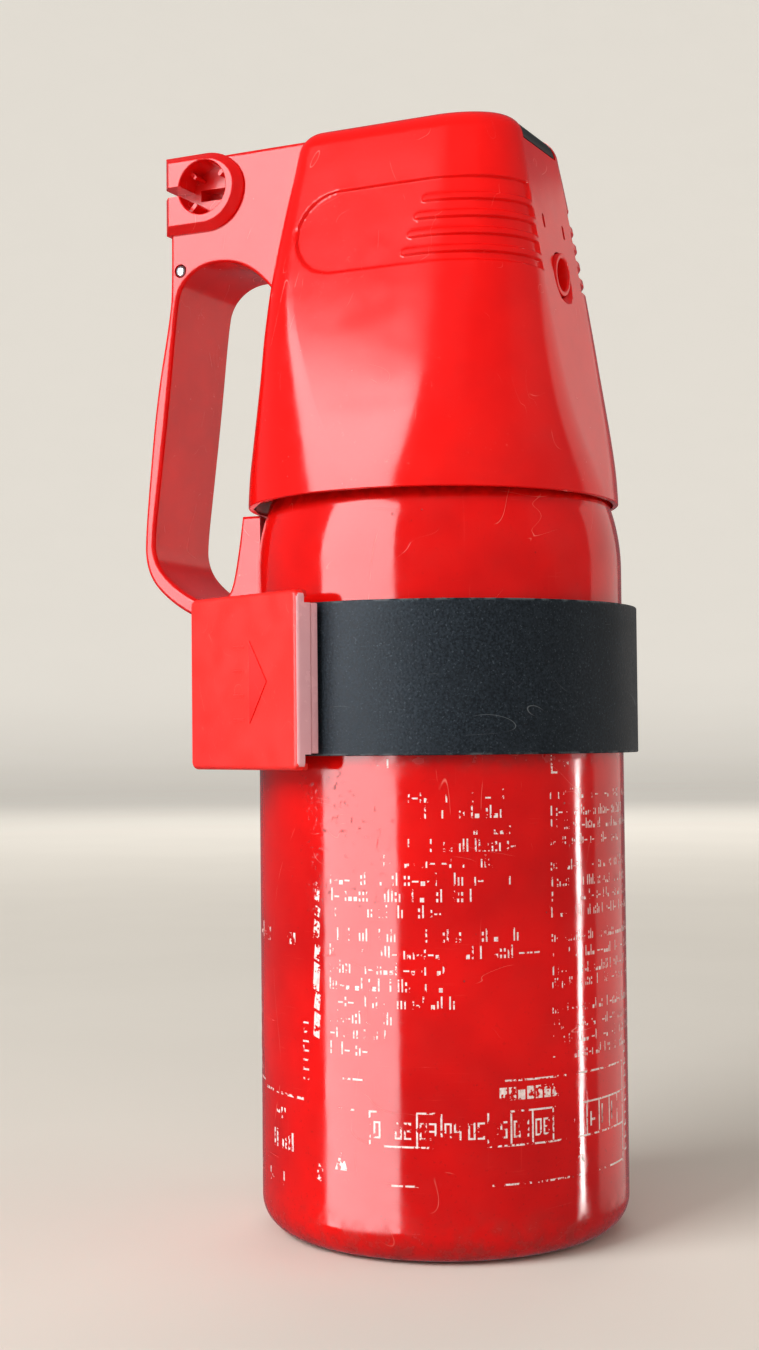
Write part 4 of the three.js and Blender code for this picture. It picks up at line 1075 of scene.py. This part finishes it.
# =====================================================================  strap and its liner
def catmull(pts, per=6):
    out = []
    for i in range(len(pts) - 1):
        p0, p1, p2, p3 = (np.array(pts[max(0, min(len(pts) - 1, i + k))], float) for k in (-1, 0, 1, 2))
        for j in range(per):
            t = j / per
            out.append(tuple(0.5 * (2 * p1 + (p2 - p0) * t + (2 * p0 - 5 * p1 + 4 * p2 - p3) * t * t + (3 * p1 - p0 - 3 * p2 + p3) * t ** 3)))
    out.append(tuple(pts[-1]))
    return out


def strip(name, line, z0, z1, thick, edge, place, seg=3, end_round=0.0):
    """A strap of rounded rectangular section run along a centre line in plan."""
    sec = []
    h = thick / 2
    for cx, cz, a0 in ((h - edge, z1 - edge, 0), (-h + edge, z1 - edge, 90), (-h + edge, z0 + edge, 180), (h - edge, z0 + edge, 270)):
        sec += arc(cx, cz, edge, a0, a0 + 90, seg)
    mid = np.linspace(z0 + edge, z1 - edge, 9)[1:-1]
    k = 2 * (seg + 1)
    sec = sec[:k] + [(-h, z) for z in mid[::-1]] + sec[k:] + [(h, z) for z in mid]
    n = len(sec)
    zc = (z0 + z1) / 2
    verts, faces = [], []
    L = np.array(line, float)
    lens = np.concatenate([[0], np.cumsum(np.hypot(*np.diff(L, axis=0).T))])
    for i in range(len(L)):
        a, b_ = L[max(0, i - 1)], L[min(len(L) - 1, i + 1)]
        d = (b_ - a) / np.linalg.norm(b_ - a)
        nn = np.array([d[1], -d[0]])
        s_end = min(lens[i], lens[-1] - lens[i])
        pinch = 0.0
        if end_round and s_end < end_round:
            pinch = end_round - math.sqrt(max(0.0, end_round ** 2 - (end_round - s_end) ** 2))
        f = 1 - pinch / ((z1 - z0) / 2)
        for u, z in sec:
            verts.append(place(L[i][0] + nn[0] * u, L[i][1] + nn[1] * u, zc + (z - zc) * f))
    for i in range(len(L) - 1):
        for j in range(n):
            a, b_ = i * n + j, i * n + (j + 1) % n
            faces.append((a, b_, b_ + n, a + n))
    faces.append(tuple(range(n)))
    faces.append(tuple(range((len(L) - 1) * n, len(L) * n)))
    return outward(new_object(name, verts, faces, 40))


BR = to_bracket(24.0)
LT = to_bracket(24.0 - 48.9)
line = []
for i in range(105):
    a = -137.2 + 137.2 * i / 104
    k = min(1.0, max(0.0, (a + 80) / 80))
    r = 47.1 + smooth01(k)
    line.append((r * math.cos(rad(a)), r * math.sin(rad(a))))
line += catmull([(48.1, 0.0), (48.0, 7), (47.1, 18), (45.6, 28), (44.1, 35), (43.65, 38.5), (43.6, 45)], 8)[1:]
band = strip("band", line, 115.0, 150.35, 0.98, 0.3, BR, 3, 0.0)
hook = slab("hook", tidy(arc(1.4, -48.5, 0.34, 180, 360, 6) + [(1.55, -47.0), (0.75, -47.0)], 0.05), 124.6, 140.4, frame3=LT)
carve(band, [hook], "UNION")
for z in (124, 141):
    c = turned([(1.8, 40), (1.8, 47.6)], (40.5, z), "X", 32)
    c.data.transform(Matrix.Rotation(rad(24), 4, "Z"))
    carve(band, [c])
settle(band, 38)
finish_piece(band, "band_visual", M_COAT, "band", "anthracite_coat", "clamp_band")

lin = [(45.85 * math.cos(rad(-136 + 126 * i / 88)), 45.85 * math.sin(rad(-136 + 126 * i / 88))) for i in range(89)]
liner = strip("liner", lin, 116.2, 149.15, 0.83, 0.25, BR, 2)
finish_piece(liner, "liner_visual", M_RUBBER, "band", "black_rubber", "band_liner")


# =====================================================================  clasp cover
def rounded_rect(x0, x1, z0, z1, r, n=8):
    pts = []
    for cx, cz, a0 in ((x1 - r, z1 - r, 0), (x0 + r, z1 - r, 90), (x0 + r, z0 + r, 180), (x1 - r, z0 + r, 270)):
        pts += arc(cx, cz, r, a0, a0 + 90, n)
    return tidy(pts, 0.02)


LF = lambda p, q, t: LT(p, t, q)       # outline in (x, z) of the latch frame, raised along its y
X0, X1, Z0, Z1 = -30.7, 12.3, 111.8, 153.0


def cushion_plate(name, steps, r=1.9):
    base = rounded_rect(X0, X1, Z0, Z1, r)
    n = len(base)
    verts, faces = [], []
    for y, off in steps:
        verts += [LT(x, y, z) for x, z in inset(base, off)]
    for k in range(len(steps) - 1):
        for i in range(n):
            a, b_ = k * n + i, k * n + (i + 1) % n
            faces.append((a, b_, b_ + n, a + n))
    faces.append(tuple(range(n)))
    faces.append(tuple(range((len(steps) - 1) * n, len(steps) * n)))
    return outward(new_object(name, verts, faces, 40))


soft = [(-54.0 + 1.15 * (1 - math.cos(rad(a))), 1.15 * (1 - math.sin(rad(a)))) for a in (0, 15, 30, 45, 60, 75, 90)]
cover = cushion_plate("cover", soft + [(-49.1, 0.0), (-48.75, 0.12), (-48.6, 0.35)])


def latch_box(x0, x1, y0, y1, z0, z1):
    return slab("cutter", [(x0, z0), (x1, z0), (x1, z1), (x0, z1)], y0, y1, frame3=LF)


carve(cover, [latch_box(X0 + 1.5, X1 - 1.5, -52.4, -40, Z0 + 1.5, Z1 - 1.5), latch_box(X1 - 3, X1 + 3, -49.9, -40, Z0 - 2, Z1 + 2),
              latch_box(X1 - 1.9, X1 + 3, -51.6, -40, Z0 - 2, Z0 + 3.6), latch_box(X1 - 1.9, X1 + 3, -51.6, -40, Z1 - 3.0, Z1 + 2),
              latch_box(X0 - 2, X0 + 3, -52.0, -40, 125.0, 140.0)])
raised = []


def raised_shape(outline, y_from, y_to):
    base = tidy(outline, 0.02)
    steps = [(y_from, 0.0), (y_to + 0.12, 0.0), (y_to + 0.03, 0.05), (y_to, 0.14)]
    verts, faces = [], []
    n = len(base)
    for y, off in steps:
        verts += [LT(x, y, z) for x, z in inset(base, off)]
    for k in range(len(steps) - 1):
        for i in range(n):
            a, b_ = k * n + i, k * n + (i + 1) % n
            faces.append((a, b_, b_ + n, a + n))
    faces.append(tuple(range(n)))
    faces.append(tuple(range((len(steps) - 1) * n, len(steps) * n)))
    return outward(new_object("raised", verts, faces, 30))


arrow_piece = raised_shape([(-5.7, 122.6), (1.1, 132.3), (-5.7, 142.0)], -53.6, -54.28)
for x0, x1, z in ((-12.6, -8.0, 140.6), (-12.6, -8.0, 134.9), (-12.6, -8.0, 129.2), (-12.6, -8.0, 123.5)):
    raised.append(raised_shape(rounded_rect(x0, x1, z - 0.35, z + 0.35, 0.3, 4), -53.4, -54.12))
carve(cover, raised, "UNION")
settle(cover, 30)
finish_piece(cover, "clasp_cover_visual", M_CLASP, "clasp", "clasp_plastic", "clasp_cover")
# the cover's right-facing walls get the pale pink copy, a painted reflection of the strip light
cover.data.materials.append(M_EDGE_PAINTED_REFLECTION)
side = Vector(LT(1, 0, 0)).normalized()
for f in cover.data.polygons:
    c = f.center / MM
    if f.normal.dot(side) > 0.72 and c.dot(side) > 12.0:
        f.material_index = 1
finish_piece(arrow_piece, "clasp_arrow_visual", M_ARROW, "clasp", "clasp_plastic")

# grip strip: two leaves with a groove between them, coloured pale pink as a painted reflection of the strip light
gp = [(9.9, -49.55), (10.35, -49.6), (10.8, -49.55), (10.92, -49.1), (11.04, -49.55), (11.6, -49.6), (12.05, -49.5), (12.1, -49.0), (12.08, -47.7), (11.9, -47.52), (10.1, -47.52), (9.92, -47.7)]
grip = slab("grip", tidy(chaikin(gp, 2, {3}), 0.04), 115.6, 150.0, 0.25, 3, LT, 40)
finish_piece(grip, "grip_visual", M_EDGE_PAINTED_REFLECTION, "clasp", "clasp_plastic", "clasp_grip")


# =====================================================================  CAD nodes that stay, with softened edges
def dress(node, mat, bevel=0.25, segments=2, angle=35):
    ob = NODES[node]
    ob.data.materials.clear()
    ob.data.materials.append(mat)
    for p in ob.data.polygons:
        p.use_smooth = True
    w = ob.modifiers.new("weld", "WELD")
    w.merge_threshold = 1e-6
    if bevel:
        b_ = ob.modifiers.new("edge", "BEVEL")
        b_.width = bevel * MM
        b_.segments = segments
        b_.limit_method = "ANGLE"
        b_.angle_limit = rad(angle)
        b_.harden_normals = True
    return ob


KEPT = {
    "neck_boss": (M_PAINT, 0.3), "powder_charge": (M_POWDER, 0.5), "valve_body": (M_BRASS, 0.25), "neck_seal": (M_RUBBER, 0.2),
    "gland_nut": (M_BRASS, 0.3), "valve_stem": (M_STEEL, 0.2), "stem_seal": (M_RUBBER, 0.2), "dip_tube_adapter": (M_NATURAL, 0.2),
    "dip_tube": (M_NATURAL, 0.1), "hood_support_plate": (M_ZINC, 0.2),
    "handle_screw_lower": (M_ZINC, 0.25), "handle_screw_upper": (M_ZINC, 0.25), "button_pivot_pin": (M_STEEL, 0.2),
    "bracket_plate": (M_COAT, 0.35), "saddle_pad": (M_RUBBER, 0.5), "band_rivet_lower": (M_ZINC, 0.3), "band_rivet_upper": (M_ZINC, 0.3),
    "latch_arm": (M_COAT, 0.3), "arm_rivet_lower": (M_ZINC, 0.3), "arm_rivet_upper": (M_ZINC, 0.3), "latch_pin": (M_STEEL, 0.25),
    "clasp_lever": (M_ZINC, 0.25), "draw_link": (M_STEEL, 0.0),
}
for node, (mat, width) in KEPT.items():
    dress(node, mat, width)


def coil_spring():
    """Return spring: round wire, 3.5 turns, its foot on the valve body and its top on the stem."""
    steps, around, turns, r_coil, r_wire = 84, 12, 3.5, 4.1, 0.49
    rise = 6.5 / (turns * 2 * math.pi * r_coil)
    v, f = [], []
    for i in range(steps + 1):
        t = i / steps
        a = turns * 2 * math.pi * t
        centre = np.array((r_coil * math.cos(a), r_coil * math.sin(a), 190.85 + 6.5 * t))
        out_dir = np.array((math.cos(a), math.sin(a), 0.0))
        along = np.array((-math.sin(a), math.cos(a), rise))
        along /= np.linalg.norm(along)
        side_dir = np.cross(along, out_dir)
        for k in range(around):
            b = 2 * math.pi * k / around
            v.append(centre + r_wire * (math.cos(b) * out_dir + math.sin(b) * side_dir))
    for i in range(steps):
        for k in range(around):
            k2 = (k + 1) % around
            f.append((i * around + k, i * around + k2, (i + 1) * around + k2, (i + 1) * around + k))
    f.append(tuple(range(around))[::-1])
    f.append(tuple(steps * around + k for k in range(around)))
    return outward(new_object("valve_spring_visual", v, f, 60))


spring = coil_spring()
spring.data.materials.append(M_STEEL)
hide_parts("valve_spring")
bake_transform(spring)


# =====================================================================  stage: floor, light, camera
def plain(name, colour, rough):
    s = Shade(name)
    n = s.noise(180, 3)
    return s.out(s.mix(s.ramp(n, 0.3, 0.7), colour, tuple(c * 0.985 for c in colour)), rough, 0.0, None)


nr, na = 40, 96
verts, faces = [(0, 0, 0)], []
radii = [60 * 1.16 ** k for k in range(nr)]
for r in radii:
    rise = 0.0 if r < 4200 else (r - 4200) ** 2 / 14000
    for k in range(na):
        a = 2 * math.pi * k / na
        verts.append((r * math.cos(a), r * math.sin(a), min(rise, 9000)))
for k in range(na):
    faces.append((0, 1 + k, 1 + (k + 1) % na))
for j in range(nr - 1):
    for k in range(na):
        a, b = 1 + j * na + k, 1 + j * na + (k + 1) % na
        faces.append((a, a + na, b + na, b))
floor = new_object("floor", verts, faces, None)
fm = Shade("floor")
fx, fy, fz = fm.xyz()
away = fm.math("SQRT", fm.math("ADD", fm.math("POWER", fx, 2.0), fm.math("POWER", fy, 2.0)))
glow = fm.add(fm.ramp(away, 250, 2600, 0.0, 0.42), fm.ramp(away, 4000, 6500, 0.0, 0.22))
fm.bsdf.inputs["Emission Color"].default_value = (*srgb(238, 233, 224), 1)
fm.put(fm.bsdf.inputs["Emission Strength"], glow)
floor.data.materials.append(fm.out(fm.mix(fm.ramp(fm.noise(240, 3), 0.3, 0.7), srgb(216, 210, 200), srgb(213, 207, 197)), 0.8, 0.0, None, Specular_IOR_Level=0.0))
floor.location.z = -0.0002
floor.visible_glossy = False

world = bpy.data.worlds.new("room")
SCENE.world = world
world.use_nodes = True
bg = world.node_tree.nodes["Background"]
bg.inputs["Color"].default_value = (0.80, 0.84, 0.90, 1)
bg.inputs["Strength"].default_value = 0.17

CAM = Vector((0.19712678559227504, -0.4427540095617815, 0.11884314029946663))
U = Vector((math.cos(rad(24)), math.sin(rad(24)), 0))
D = Vector((-math.sin(rad(24)), math.cos(rad(24)), 0))


def lamp(name, direction_deg, height, distance, size_x, size_y, power, colour=(1, 1, 1), aim=(0, 0, 0.14)):
    """Area light seen from the axis at direction_deg to the right of the camera."""
    a = rad(direction_deg)
    where = (U * math.sin(a) - D * math.cos(a)) * distance + Vector((0, 0, height))
    data = bpy.data.lights.new(name, "AREA")
    data.shape = "RECTANGLE"
    data.size, data.size_y = size_x, size_y
    data.energy = power
    data.color = colour
    ob = bpy.data.objects.new(name, data)
    SCENE.collection.objects.link(ob)
    ob.location = where
    ob.rotation_mode = "QUATERNION"
    ob.rotation_quaternion = (Vector(aim) - where).to_track_quat("-Z", "Y")
    return ob


def fill(ob):
    """Lights the object but isn't seen in reflections."""
    ob.visible_camera = False
    ob.visible_glossy = False


def card(ob):
    """A bright card seen only in reflections."""
    ob.visible_camera = False
    ob.visible_diffuse = False


fill(lamp("key_left", -52, 1.25, 1.75, 1.3, 1.1, 46, (0.985, 0.99, 1.0)))
fill(lamp("front", -8, 1.9, 2.1, 1.7, 1.2, 13, (1.0, 0.97, 0.93)))
fill(lamp("right", 80, 1.1, 2.2, 1.5, 1.2, 9, (1.0, 0.97, 0.94)))
fill(lamp("back", 175, 1.5, 2.3, 1.8, 1.2, 18, (1.0, 0.97, 0.93)))
W_NEAR = 0.62
card(lamp("window_card", -51, 0.215, W_NEAR, 2 * W_NEAR * math.tan(rad(24.4)), 0.84, 11.5, (0.96, 0.98, 1.0), (0, 0, 0.215)))
card(lamp("strip_card", 91.6, -0.14, 1.5, 0.085, 0.52, 4.4, (1.0, 0.985, 0.96), (0, 0, -0.14)))

card(lamp("edge_card", 129, 0.25, 1.6, 1.23, 1.3, 3.2, (1.0, 0.9, 0.8), (0, 0, 0.25)))

cam_data = bpy.data.cameras.new("camera")
cam_data.lens = 1948.6980764989628 / 1350.0 * 36.0
cam_data.sensor_width = 36.0
cam_data.sensor_fit = "AUTO"
cam_data.clip_start, cam_data.clip_end = 0.01, 60.0
cam_data.dof.use_dof = False
cam = bpy.data.objects.new("camera", cam_data)
SCENE.collection.objects.link(cam)
right = Vector((0.900242822, 0.435282242, -0.009603757))
up = Vector((0.022852795, -0.025213225, 0.999420854))
fwd = Vector((-0.434788008, 0.899940922, 0.032645441))
rot = Matrix((right, up, -fwd)).transposed().to_4x4()
cam.matrix_world = Matrix.Translation(CAM) @ rot
SCENE.camera = cam
SCENE.view_settings.view_transform = "Standard"
SCENE.view_settings.look = "None"
